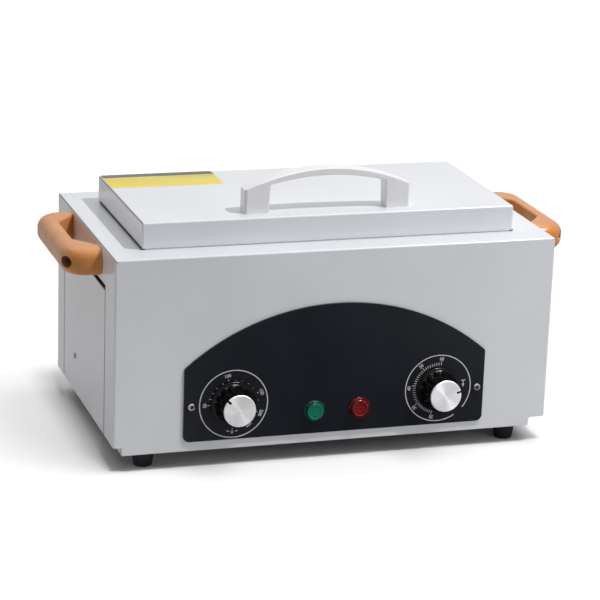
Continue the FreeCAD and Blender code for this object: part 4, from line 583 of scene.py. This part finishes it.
def endGroup(tree, given, place, copied, **turns):
    # a copy of one mesh at each place, made real and given the material
    line = addNode(tree, "GeometryNodeMeshLine", {"Count": given["Count"], "Offset": (0, 0, 0)}).outputs[0]
    moved = addNode(tree, "GeometryNodeSetPosition", {"Geometry": line, "Position": place}).outputs[0]
    copies = addNode(tree, "GeometryNodeInstanceOnPoints", {"Points": moved, "Instance": copied, **turns}).outputs[0]
    solid = addNode(tree, "GeometryNodeRealizeInstances", {"Geometry": copies}).outputs[0]
    painted = addNode(tree, "GeometryNodeSetMaterial", {"Geometry": solid, "Material": given["Material"]}).outputs[0]
    addNode(tree, "NodeGroupOutput", {"Geometry": painted})


def ribGroup():
    # Bars side by side across a disc, each as long as its chord.
    tree, sockets, given = startGroup("discRibs", [("Count", "Int", 9), ("Radius", "Float", 0.005),
                                                   ("Width", "Float", 0.001)])
    count, radius = given["Count"], given["Radius"]
    index = addNode(tree, "GeometryNodeInputIndex").outputs[0]
    middle = mathOf(tree, "DIVIDE", mathOf(tree, "SUBTRACT", count, 1.0), 2.0)
    place = mathOf(tree, "DIVIDE", mathOf(tree, "MULTIPLY", mathOf(tree, "SUBTRACT", index, middle), radius),
                   mathOf(tree, "DIVIDE", count, 2.0))
    square = mathOf(tree, "SUBTRACT", mathOf(tree, "MULTIPLY", radius, radius),
                    mathOf(tree, "MULTIPLY", place, place))
    chord = mathOf(tree, "DIVIDE", mathOf(tree, "SQRT", square), radius)
    rod = addNode(tree, "GeometryNodeMeshCylinder", {
        "Vertices": 10, "Radius": mathOf(tree, "DIVIDE", given["Width"], 2.0),
        "Depth": mathOf(tree, "MULTIPLY", radius, 1.94)}).outputs["Mesh"]
    turned = addNode(tree, "GeometryNodeTransform", {"Geometry": rod, "Rotation": (0, pi / 2, 0)}).outputs[0]
    size = addNode(tree, "ShaderNodeCombineXYZ", {"X": chord, "Y": 1.0, "Z": 1.0}).outputs[0]
    endGroup(tree, given, addNode(tree, "ShaderNodeCombineXYZ", {"Y": place}).outputs[0], turned, Scale=size)
    return tree, sockets


def tickGroup():
    # Flat marks on an arc, every so many of them longer.
    tree, sockets, given = startGroup("arcTicks", [
        ("Count", "Int", 41), ("Start", "Float", 0.0), ("Step", "Float", 0.1), ("Inner Radius", "Float", 0.019),
        ("Length", "Float", 0.002), ("Long Length", "Float", 0.003), ("Width", "Float", 0.0004),
        ("Every", "Int", 10)])
    index = addNode(tree, "GeometryNodeInputIndex").outputs[0]
    angle = mathOf(tree, "ADD", given["Start"], mathOf(tree, "MULTIPLY", index, given["Step"]))
    long = mathOf(tree, "LESS_THAN", mathOf(tree, "MODULO", index, given["Every"]), 0.5)
    gain = mathOf(tree, "MULTIPLY", long, mathOf(tree, "SUBTRACT", given["Long Length"], given["Length"]))
    length = mathOf(tree, "ADD", given["Length"], gain)
    reach = mathOf(tree, "ADD", given["Inner Radius"], mathOf(tree, "DIVIDE", length, 2.0))
    place = addNode(tree, "ShaderNodeCombineXYZ", {
        "X": mathOf(tree, "MULTIPLY", reach, mathOf(tree, "COSINE", angle)),
        "Y": mathOf(tree, "MULTIPLY", reach, mathOf(tree, "SINE", angle))}).outputs[0]
    mark = addNode(tree, "GeometryNodeMeshGrid", {"Size X": 1.0, "Size Y": given["Width"], "Vertices X": 2,
                                                  "Vertices Y": 2}).outputs["Mesh"]
    lean = addNode(tree, "ShaderNodeCombineXYZ", {"Z": angle}).outputs[0]
    turn = addNode(tree, "FunctionNodeEulerToRotation", {0: lean}).outputs[0]
    size = addNode(tree, "ShaderNodeCombineXYZ", {"X": length, "Y": 1.0, "Z": 1.0}).outputs[0]
    endGroup(tree, given, place, mark, Rotation=turn, Scale=size)
    return tree, sockets


def grownMesh(name, group, values):
    # the plain mesh that a node group makes with these named inputs
    tree, sockets = group
    holder = bpy.data.objects.new(name + "_holder", bpy.data.meshes.new(name + "_holder"))
    scene.collection.objects.link(holder)
    modifier = holder.modifiers.new("grow", "NODES")
    modifier.node_group = tree
    for label, value in values.items():
        modifier[sockets[label]] = value
    return plainMesh(name, holder)


def plainMesh(name, holder):
    bpy.context.view_layer.update()
    graph = bpy.context.evaluated_depsgraph_get()
    mesh = bpy.data.meshes.new_from_object(holder.evaluated_get(graph), depsgraph=graph)
    mesh.name = name
    data = holder.data
    bpy.data.objects.remove(holder)
    if isinstance(data, bpy.types.Mesh):
        bpy.data.meshes.remove(data)
    else:
        bpy.data.curves.remove(data)
    return mesh


def lampPieces(word, ribs):
    x, dark, middle, light = lamps[word]
    shellFinish = lampShell(word + "TintedPolycarbonate", word, (x * mm, 0, lamp["level"] * mm))
    insertFinish = lampInsert(word + "RibbedDiffuser", dark, middle)
    rimHighlightFinish = lampInsert(word + "PaintedHighlightRim", middle, light)
    slot = word + "_lens"
    flange, thick, reach, level = lamp["flange"], lamp["flangeThick"], lamp["reach"], lamp["level"]
    stem, length, tip, edge, dome = lamp["stem"], lamp["stemLength"], lamp["tip"], lamp["edge"], lamp["dome"]
    profile = [(0, -length), (stem - 0.4, -length), (stem, 0.4 - length), (stem, 0), (flange - 0.1, 0)]
    profile += roundedEdge(flange - 0.4, thick - 0.4, 0.4, 0, 90, 4)
    profile += [(lamp["base"] + 0.15, thick), (lamp["base"], thick + 0.12)]
    profile += roundedEdge(tip - edge, reach - edge, edge, 6, 80, 7)
    for i in range(4, 0, -1):
        radius = (tip - edge) * i / 4.4
        profile.append((radius, reach + dome * (1 - (radius / tip) ** 2)))
    profile.append((0, reach + dome))
    shell = turnedPiece(word + "LampShell", profile, 72, x, level, shellFinish, "root", 40, slot)
    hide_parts(word + "_lamp_lens")
    disc, floor, rim = lamp["insertRadius"], lamp["insertLevel"], lamp["rim"]
    back = floor - lamp["insertThick"]
    profile = [(0, back), (disc - 0.1, back), (disc, floor - 0.9), (disc, floor - 0.2), (disc - 0.2, floor),
               (0, floor)]
    turnedPiece(word + "LampDiffuser", profile, 48, x, level, insertFinish, "root", 40, slot)
    # painted highlight: a bright, faintly glowing ring just inside the lens's rim
    profile = roundedEdge(disc + 0.3, floor + 0.55, rim, 0, 360, 8)
    turnedPiece(word + "LampHighlightRing", profile, 48, x, level, rimHighlightFinish, "root", 60, slot)
    mesh = grownMesh(word + "LampRibs", ribs, {"Count": lamp["ribs"], "Radius": (disc - 0.35) * mm,
                                               "Width": lamp["ribWidth"] * mm, "Material": insertFinish})
    mesh.transform(Matrix.Translation((x * mm, plateFace - (floor + 0.05) * mm, level * mm)) @ toFront)
    finishPiece(word + "LampRibs", mesh, insertFinish, "root", 50)
    return shell


def arcBand(radius, stroke, start, stop, steps):
    points = []
    faces = []
    whole = abs(stop - start) >= 360
    for i in range(steps + (0 if whole else 1)):
        angle = radians(start + (stop - start) * i / steps)
        for reach in (radius - stroke, radius):
            points.append(Vector((reach * cos(angle), reach * sin(angle), 0)) * mm)
    count = len(points) // 2
    for i in range(steps):
        j = (i + 1) % count
        faces.append((2 * i, 2 * i + 1, 2 * j + 1, 2 * j))
    return points, faces


def bar(x, y, length, width, angle):
    # flat stroke about its middle, turned by degrees
    turn = Matrix.Rotation(radians(angle), 4, "Z")
    corners = [(-length / 2, -width / 2), (length / 2, -width / 2), (length / 2, width / 2), (-length / 2, width / 2)]
    return [(turn @ Vector((a, b, 0)) + Vector((x, y, 0))) * mm for a, b in corners], [(0, 1, 2, 3)]


def spot(x, y, radius):
    ring = [Vector((x + radius * cos(2 * pi * i / 12), y + radius * sin(2 * pi * i / 12), 0)) * mm for i in range(12)]
    return ring, [tuple(range(12))]


def numberMesh(text, radius, angle):
    height = dialStyle["height"]
    curve = bpy.data.curves.new("dialNumber", "FONT")
    curve.body = text
    curve.align_x = "CENTER"
    curve.align_y = "CENTER"
    curve.size = height * mm / dialStyle["figureShare"]
    curve.offset = dialStyle["swell"] * height * mm
    curve.resolution_u = 4
    curve.space_character = dialStyle["spacing"]
    holder = bpy.data.objects.new("dialNumber", curve)
    scene.collection.objects.link(holder)
    mesh = plainMesh("dialNumber", holder)
    turn = Matrix.Rotation(radians(angle - 90), 4, "Z")
    place = Matrix.Rotation(radians(angle), 4, "Z") @ Vector((radius * mm, 0, 0))
    mesh.transform(Matrix.Translation(place) @ turn)
    return mesh


def joined(name, shapes, meshes):
    # one mesh from (points, faces) pairs and from meshes, which it uses up
    whole = bmesh.new()
    for mesh in meshes:
        whole.from_mesh(mesh)
        bpy.data.meshes.remove(mesh)
    for points, faces in shapes:
        made = [whole.verts.new(p) for p in points]
        for face in faces:
            whole.faces.new([made[i] for i in face])
    mesh = bpy.data.meshes.new(name)
    whole.to_mesh(mesh)
    whole.free()
    return mesh


def polar(radius, angle):
    return radius * cos(radians(angle)), radius * sin(radians(angle))


# what both dials share: sizes in mm, and the share of a font's size that its figures are high
dialStyle = {"ring": 28.0, "stroke": 0.78, "ringSteps": 160, "line": 0.6, "lift": 0.03, "height": 2.8,
             "figureShare": 0.72, "swell": 0.018, "spacing": 0.95}
# numbers are (text, degrees, radius), marks are (kind, radius, degrees, size), strokes are (x, y, length, width)
dials = {
    "temperatureDial": {
        "x": -84.4, "level": 51.8, "arc": (0, 360),
        "numbers": [("50", 180, 23.3), ("100", 103, 23.6), ("150", 21, 23.9), ("200", -22, 23.7), ("0", -92, 23.0)],
        "marks": [("bar", 20.4, 180, 2.6), ("bar", 19.6, 165, 1.9), ("bar", 19.4, 150, 1.3), ("dot", 19.3, 135, 0.45),
                  ("dot", 19.3, 118, 0.42), ("dot", 20.3, 103, 0.48), ("dot", 19.6, 87, 0.3), ("dot", 19.6, 71, 0.3),
                  ("dot", 19.6, 54, 0.3), ("dot", 19.6, 38, 0.3), ("dot", 20.9, 22, 0.48), ("dot", 20.0, 5, 0.3),
                  ("dot", 20.4, -22, 0.4), ("dot", 20.3, -92, 0.4), ("along", 22.6, -55, 5.0),
                  ("along", 22.6, -101, 2.4), ("along", 22.6, -83, 2.4)],
        "strokes": [], "arrows": [], "ticks": []},
    "timerDial": {
        "x": 85.5, "level": 52.9, "arc": (-39, 302),
        "numbers": [("60", 85, 24.4), ("50", 128, 24.5), ("40", 177, 24.6), ("30", 218, 24.5), ("20", 259, 24.4)],
        "marks": [], "strokes": [(21.3, 5.3, 3.6, 0.6), (21.3, 3.6, 0.6, 3.0)],
        "arrows": [((20.2, 2.3), (22.5, 2.3), (21.4, -0.5))],
        "ticks": [{"Count": 33, "Start": radians(85.0), "Step": radians(5.375), "Inner Radius": 19.0 * mm,
                   "Length": 2.4 * mm, "Long Length": 3.5 * mm, "Width": 0.5 * mm, "Every": 8}]},
}


def dialPrint(name, group, ink):
    dial = dials[name]
    shapes = [arcBand(dialStyle["ring"], dialStyle["stroke"], *dial["arc"], dialStyle["ringSteps"])]
    for kind, radius, angle, size in dial["marks"]:
        x, y = polar(radius, angle)
        if kind == "dot":
            shapes.append(spot(x, y, size))
        else:
            shapes.append(bar(x, y, size, dialStyle["line"], angle + (90 if kind == "along" else 0)))
    shapes += [bar(*stroke, 0) for stroke in dial["strokes"]]
    shapes += [([Vector((x, y, 0)) * mm for x, y in arrow], [(0, 1, 2)]) for arrow in dial["arrows"]]
    meshes = [numberMesh(text, radius, angle) for text, angle, radius in dial["numbers"]]
    meshes += [grownMesh(name + "Ticks", group, {**ticks, "Material": ink}) for ticks in dial["ticks"]]
    mesh = joined(name, shapes, meshes)
    mesh.transform(Matrix.Translation((dial["x"] * mm, plateFace - dialStyle["lift"] * mm, dial["level"] * mm))
                   @ toFront)
    finishPiece(name, mesh, ink, "root")


def roundedLoop(left, right, front, back, corner, steps=8):
    loop = []
    for x, y, start in ((right - corner, back - corner, 0), (left + corner, back - corner, 90),
                        (left + corner, front + corner, 180), (right - corner, front + corner, 270)):
        for i in range(steps + 1):
            angle = radians(start + 90 * i / steps)
            loop.append((x + corner * cos(angle), y + corner * sin(angle)))
    return loop


def loopSlab(loops):
    # closed slab from rings of (x, y, z) in mm, the first and last filled
    count = len(loops[0])
    points = [Vector(p) * mm for loop in loops for p in loop]
    faces = [tuple(range(count))[::-1], tuple(range(count * (len(loops) - 1), count * len(loops)))]
    for row in range(len(loops) - 1):
        for i in range(count):
            j = (i + 1) % count
            a, b = row * count, (row + 1) * count
            faces.append((a + i, a + j, b + j, b + i))
    return points, faces


sticker = {"left": -151.4, "right": -57.8, "front": 31.0, "back": 73.2, "corner": 1.2, "thick": 0.12, "edge": 0.04,
           "bevel": 0.06, "lift": 0.005, "band": 9.5, "blur": 0.12}


def lidSticker():
    top, thick = lidTop / mm, sticker["thick"]
    rings = []
    for inset, height in ((0, sticker["lift"]), (0, thick - sticker["edge"]), (sticker["bevel"], thick)):
        loop = roundedLoop(sticker["left"] + inset, sticker["right"] - inset, sticker["front"] + inset,
                           sticker["back"] - inset, sticker["corner"])
        rings.append([(x, y, top + height) for x, y in loop])
    makePiece("lidSticker", *loopSlab(rings), stickerFilm(), "lid", 30)


gapStrip = {"side": 152.85, "depth": 2.4, "front": -77.35, "sideFront": -76.6, "back": 64.0, "low": 0.06, "under": 0.94,
        "round": 0.3, "beadOut": 0.6, "beadIn": 0.18, "beadTop": 1.75, "gap": 0.1}


def paintedGapStrips():
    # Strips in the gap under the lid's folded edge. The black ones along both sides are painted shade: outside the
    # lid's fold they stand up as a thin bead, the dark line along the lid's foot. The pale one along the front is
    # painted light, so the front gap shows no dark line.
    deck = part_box("cabinet_shell")[1].z / mm
    low, high, top = deck + gapStrip["low"], deck + gapStrip["under"], deck + gapStrip["beadTop"]
    depth, curve = gapStrip["depth"], gapStrip["round"]
    lip = [(0.0, high), (depth, high)]
    lip += roundedEdge(depth - curve, low + curve, curve, 0, -90, 2)
    lip += roundedEdge(curve, low + curve, curve, -90, -180, 2)
    bead = [(-gapStrip["beadOut"], low), (-gapStrip["beadOut"], top), (-gapStrip["beadIn"], top), (-gapStrip["beadIn"], high)]
    # painted shade: black strips that make the dark line under the lid's sides
    black = plainFinish("gapShadeBlackStrip", "#0A0A0B", "#121213", 6, (0.55, 0.7), 0.5, 0.01)
    pale = plainFinish("gapLightGreyStrip", "#C6C8CC", "#D2D4D8", 6, (0.5, 0.65), 0.5, 0.01)
    for word, side in (("left", -1), ("right", 1)):
        rings = [[((gapStrip["side"] - inset) * side, y, z) for inset, z in lip + bead]
                 for y in (gapStrip["sideFront"], gapStrip["back"])]
        makePiece(word + "SealStrip", *loopSlab(rings), black, "lid", 40)
    # painted light: a pale strip that fills the gap under the lid's front
    across = gapStrip["side"] - depth - gapStrip["gap"]
    rings = [[(x, gapStrip["front"] + inset, z) for inset, z in lip] for x in (-across, across)]
    makePiece("frontSealStrip", *loopSlab(rings), pale, "lid", 40)


# Floor, light and camera.

# area lights stand at a place in metres, aimed at the object's middle, and suns come from a direction with a
# spread in degrees
objectMiddle = (0, 0, 0.15)
lights = {
    "keyLight": {"place": (0.74, -0.58, 1.64), "size": (0.06, 0.06), "watts": 19.6},
    "sideFill": {"place": (-1.8, 0.3, 0.4), "size": (1.2, 0.8), "watts": 2.3},
    "capLight": {"place": (1.1, -0.7, 0.06), "size": (0.25, 0.25), "watts": 15.5},
    "frontFill": {"place": (0.55, -0.75, 0.25), "size": (0.5, 0.4), "watts": 0.95},
    "highlightCard": {"place": (0.35, -0.45, 1.5), "size": (0.35, 0.35), "watts": 22.0, "aim": (0, -0.1, 0.05)},
    "overheadSoftbox": {"from": (0.05, 0.35, 1.0), "strength": 0.94, "spread": 70},
    "floorBand": {"from": (0.03, -0.32, 1.0), "strength": 1.65, "spread": 11.0},
    "floorSoft": {"from": (0.46, -0.28, 1.0), "strength": 1.45, "spread": 40},
}
# greys of the floor: as the camera sees it, as it bounces light near and far, and as gloss mirrors it, dark in the
# middle and pale at both sides
floorTone = {"half": 6.0, "shown": 0.8, "near": 0.46, "far": 0.10, "nearReach": 0.35, "farReach": 1.0,
             "mirrorMiddle": 0.07, "mirrorSides": 0.36, "mirrorPlace": 0.05, "mirrorStart": 0.3, "mirrorHalf": 0.17}
# strengths of the world, and between which directions they change
worldTone = {"shown": 1.0, "ambient": 0.17, "frontHorizon": 0.25, "horizon": 0.65, "zenith": 0.9,
             "frontEnd": -0.4, "backEnd": 0.5, "low": 0.1, "high": 0.8}


def placeLight(name, data, place, turn):
    light = bpy.data.objects.new(name, data)
    light.location = place
    light.rotation_euler = turn.to_euler()
    scene.collection.objects.link(light)
    return light


def softLight(name):
    given = lights[name]
    data = bpy.data.lights.new(name, "AREA")
    data.shape = "RECTANGLE"
    data.size, data.size_y = given["size"]
    data.energy = given["watts"]
    aim = Vector(given.get("aim", objectMiddle)) - Vector(given["place"])
    light = placeLight(name, data, given["place"], aim.to_track_quat("-Z", "Y"))
    light.visible_camera = False
    return light


def skyLight(name):
    given = lights[name]
    data = bpy.data.lights.new(name, "SUN")
    data.energy = given["strength"]
    data.angle = radians(given["spread"])
    direction = Vector(given["from"])
    return placeLight(name, data, direction.normalized() * 2, direction.to_track_quat("Z", "Y"))


def shownRays(tree):
    rays = addNode(tree, "ShaderNodeLightPath").outputs
    return mathOf(tree, "MAXIMUM", rays["Is Camera Ray"], rays["Is Transmission Ray"]), rays["Is Glossy Ray"]


def mixed(tree, value, first, second):
    # number that goes from the first to the second as the value goes from 0 to 1
    return addNode(tree, "ShaderNodeMix", {0: value, 2: first, 3: second}, data_type="FLOAT").outputs[0]


def linkedObjects(name, objects, state="INCLUDE"):
    # collection that limits a light to these objects, or to all but these
    group = bpy.data.collections.new(name)
    for index, item in enumerate(objects):
        group.objects.link(item)
        group.collection_objects[index].light_linking.link_state = state
    return group


def knobCaps():
    return [nodes["temperature_knob_cap"], nodes["timer_knob_cap"]]


def paleFloor():
    tone, half = floorTone, floorTone["half"]
    mesh = bpy.data.meshes.new("floor")
    mesh.from_pydata([(-half, -half, 0), (half, -half, 0), (half, half, 0), (-half, half, 0)], [], [(0, 1, 2, 3)])
    floor = bpy.data.objects.new("floor", mesh)
    scene.collection.objects.link(floor)
    material = bpy.data.materials.new("paleFloor")
    material.use_nodes = True
    tree = material.node_tree
    tree.nodes.clear()
    shown, glossy = shownRays(tree)
    place = addNode(tree, "ShaderNodeTexCoord").outputs["Object"]
    away = vectorOf(tree, "LENGTH", place)["Value"]
    bounced = rangeOf(tree, away, tone["near"], tone["far"], tone["nearReach"], tone["farReach"])
    offside = offsetOf(tree, splitOf(tree, place)["X"], tone["mirrorPlace"])
    mirrored = rangeOf(tree, offside, tone["mirrorMiddle"], tone["mirrorSides"],
                       tone["mirrorHalf"] * tone["mirrorStart"], tone["mirrorHalf"])
    grey = mixed(tree, shown, mixed(tree, glossy, bounced, mirrored), tone["shown"])
    colour = addNode(tree, "ShaderNodeCombineColor", {"Red": grey, "Green": grey, "Blue": grey}).outputs[0]
    lit = addNode(tree, "ShaderNodeBsdfDiffuse", {"Color": colour}).outputs[0]
    addNode(tree, "ShaderNodeOutputMaterial", {"Surface": lit})
    mesh.materials.append(material)
    # the floor has two lights of its own: one crisp, for the hard band under the front edge, one soft
    band, soft = skyLight("floorBand"), skyLight("floorSoft")
    for light in (band, soft):
        light.light_linking.receiver_collection = linkedObjects(light.name, [floor])
    cast = ["cabinet_shell", "control_plate", "base_tray"] + [name for name in nodes.keys() if "foot_" in name]
    band.light_linking.blocker_collection = linkedObjects("bandShadows", [nodes[name] for name in cast])
    return floor


def studio(floor):
    tone = worldTone
    world = bpy.data.worlds.new("studio")
    scene.world = world
    world.use_nodes = True
    tree = world.node_tree
    tree.nodes.clear()
    shown, glossy = shownRays(tree)
    split = splitOf(tree, addNode(tree, "ShaderNodeTexCoord").outputs["Generated"])
    edge = rangeOf(tree, split["Y"], tone["frontHorizon"], tone["horizon"], tone["frontEnd"], tone["backEnd"])
    rise = rangeOf(tree, split["Z"], 0, 1, tone["low"], tone["high"])
    mirrored = mixed(tree, rise, edge, tone["zenith"])
    level = mixed(tree, shown, mixed(tree, glossy, tone["ambient"], mirrored), tone["shown"])
    sky = addNode(tree, "ShaderNodeBackground", {"Color": (1, 1, 1, 1), "Strength": level}).outputs[0]
    addNode(tree, "ShaderNodeOutputWorld", {"Surface": sky})
    key = softLight("keyLight")
    key.light_linking.receiver_collection = linkedObjects("keyLit", [floor], "EXCLUDE")
    softLight("sideFill")
    softLight("capLight").light_linking.receiver_collection = linkedObjects("capsLit", knobCaps())
    softLight("frontFill").visible_glossy = False
    skyLight("overheadSoftbox")
    scene.view_settings.view_transform = "Standard"


def highlightCard(glossy):
    # a bright card above that only the knobs and lamps mirror
    card = softLight("highlightCard")
    card.visible_diffuse = False
    card.light_linking.receiver_collection = linkedObjects("cardLit", glossy)


# fitted to the corners of the cabinet and the lid in the photograph: degrees, metres, and the focal length in pixels
view = {"azimuth": -17.91, "elevation": 16.95, "roll": 2.01, "place": (-0.59071, -1.82996, 0.68623),
        "focal": 2441.4, "frame": 600, "sensor": 36}


def photoCamera():
    azimuth, height, roll = (radians(view[angle]) for angle in ("azimuth", "elevation", "roll"))
    back = Vector((sin(azimuth) * cos(height), -cos(azimuth) * cos(height), sin(height)))
    level = Vector((cos(azimuth), sin(azimuth), 0))
    rise = back.cross(level)
    right = level * cos(roll) + rise * sin(roll)
    up = rise * cos(roll) - level * sin(roll)
    data = bpy.data.cameras.new("photoCamera")
    data.sensor_width = view["sensor"]
    data.lens = view["sensor"] * view["focal"] / view["frame"]
    camera = bpy.data.objects.new("photoCamera", data)
    turn = Matrix((right, up, back)).transposed().to_4x4()
    camera.matrix_world = Matrix.Translation(view["place"]) @ turn
    scene.collection.objects.link(camera)
    scene.camera = camera


studio(paleFloor())
photoCamera()
print("studio ready")
finishes = makeFinishes()
dressNodes()
print("materials ready")
shiny = [knobGrip(word) for word in knobPlaces]
print("knobs ready")
discRibs = ribGroup()
shiny += [lampPieces(word, discRibs) for word in lamps]
highlightCard(shiny + knobCaps())
print("lamps ready")
arcTicks = tickGroup()
silverInk = printInk()
for dialName in dials:
    dialPrint(dialName, arcTicks, silverInk)
print("dials ready")
lidSticker()
paintedGapStrips()
print("sticker and seals ready")
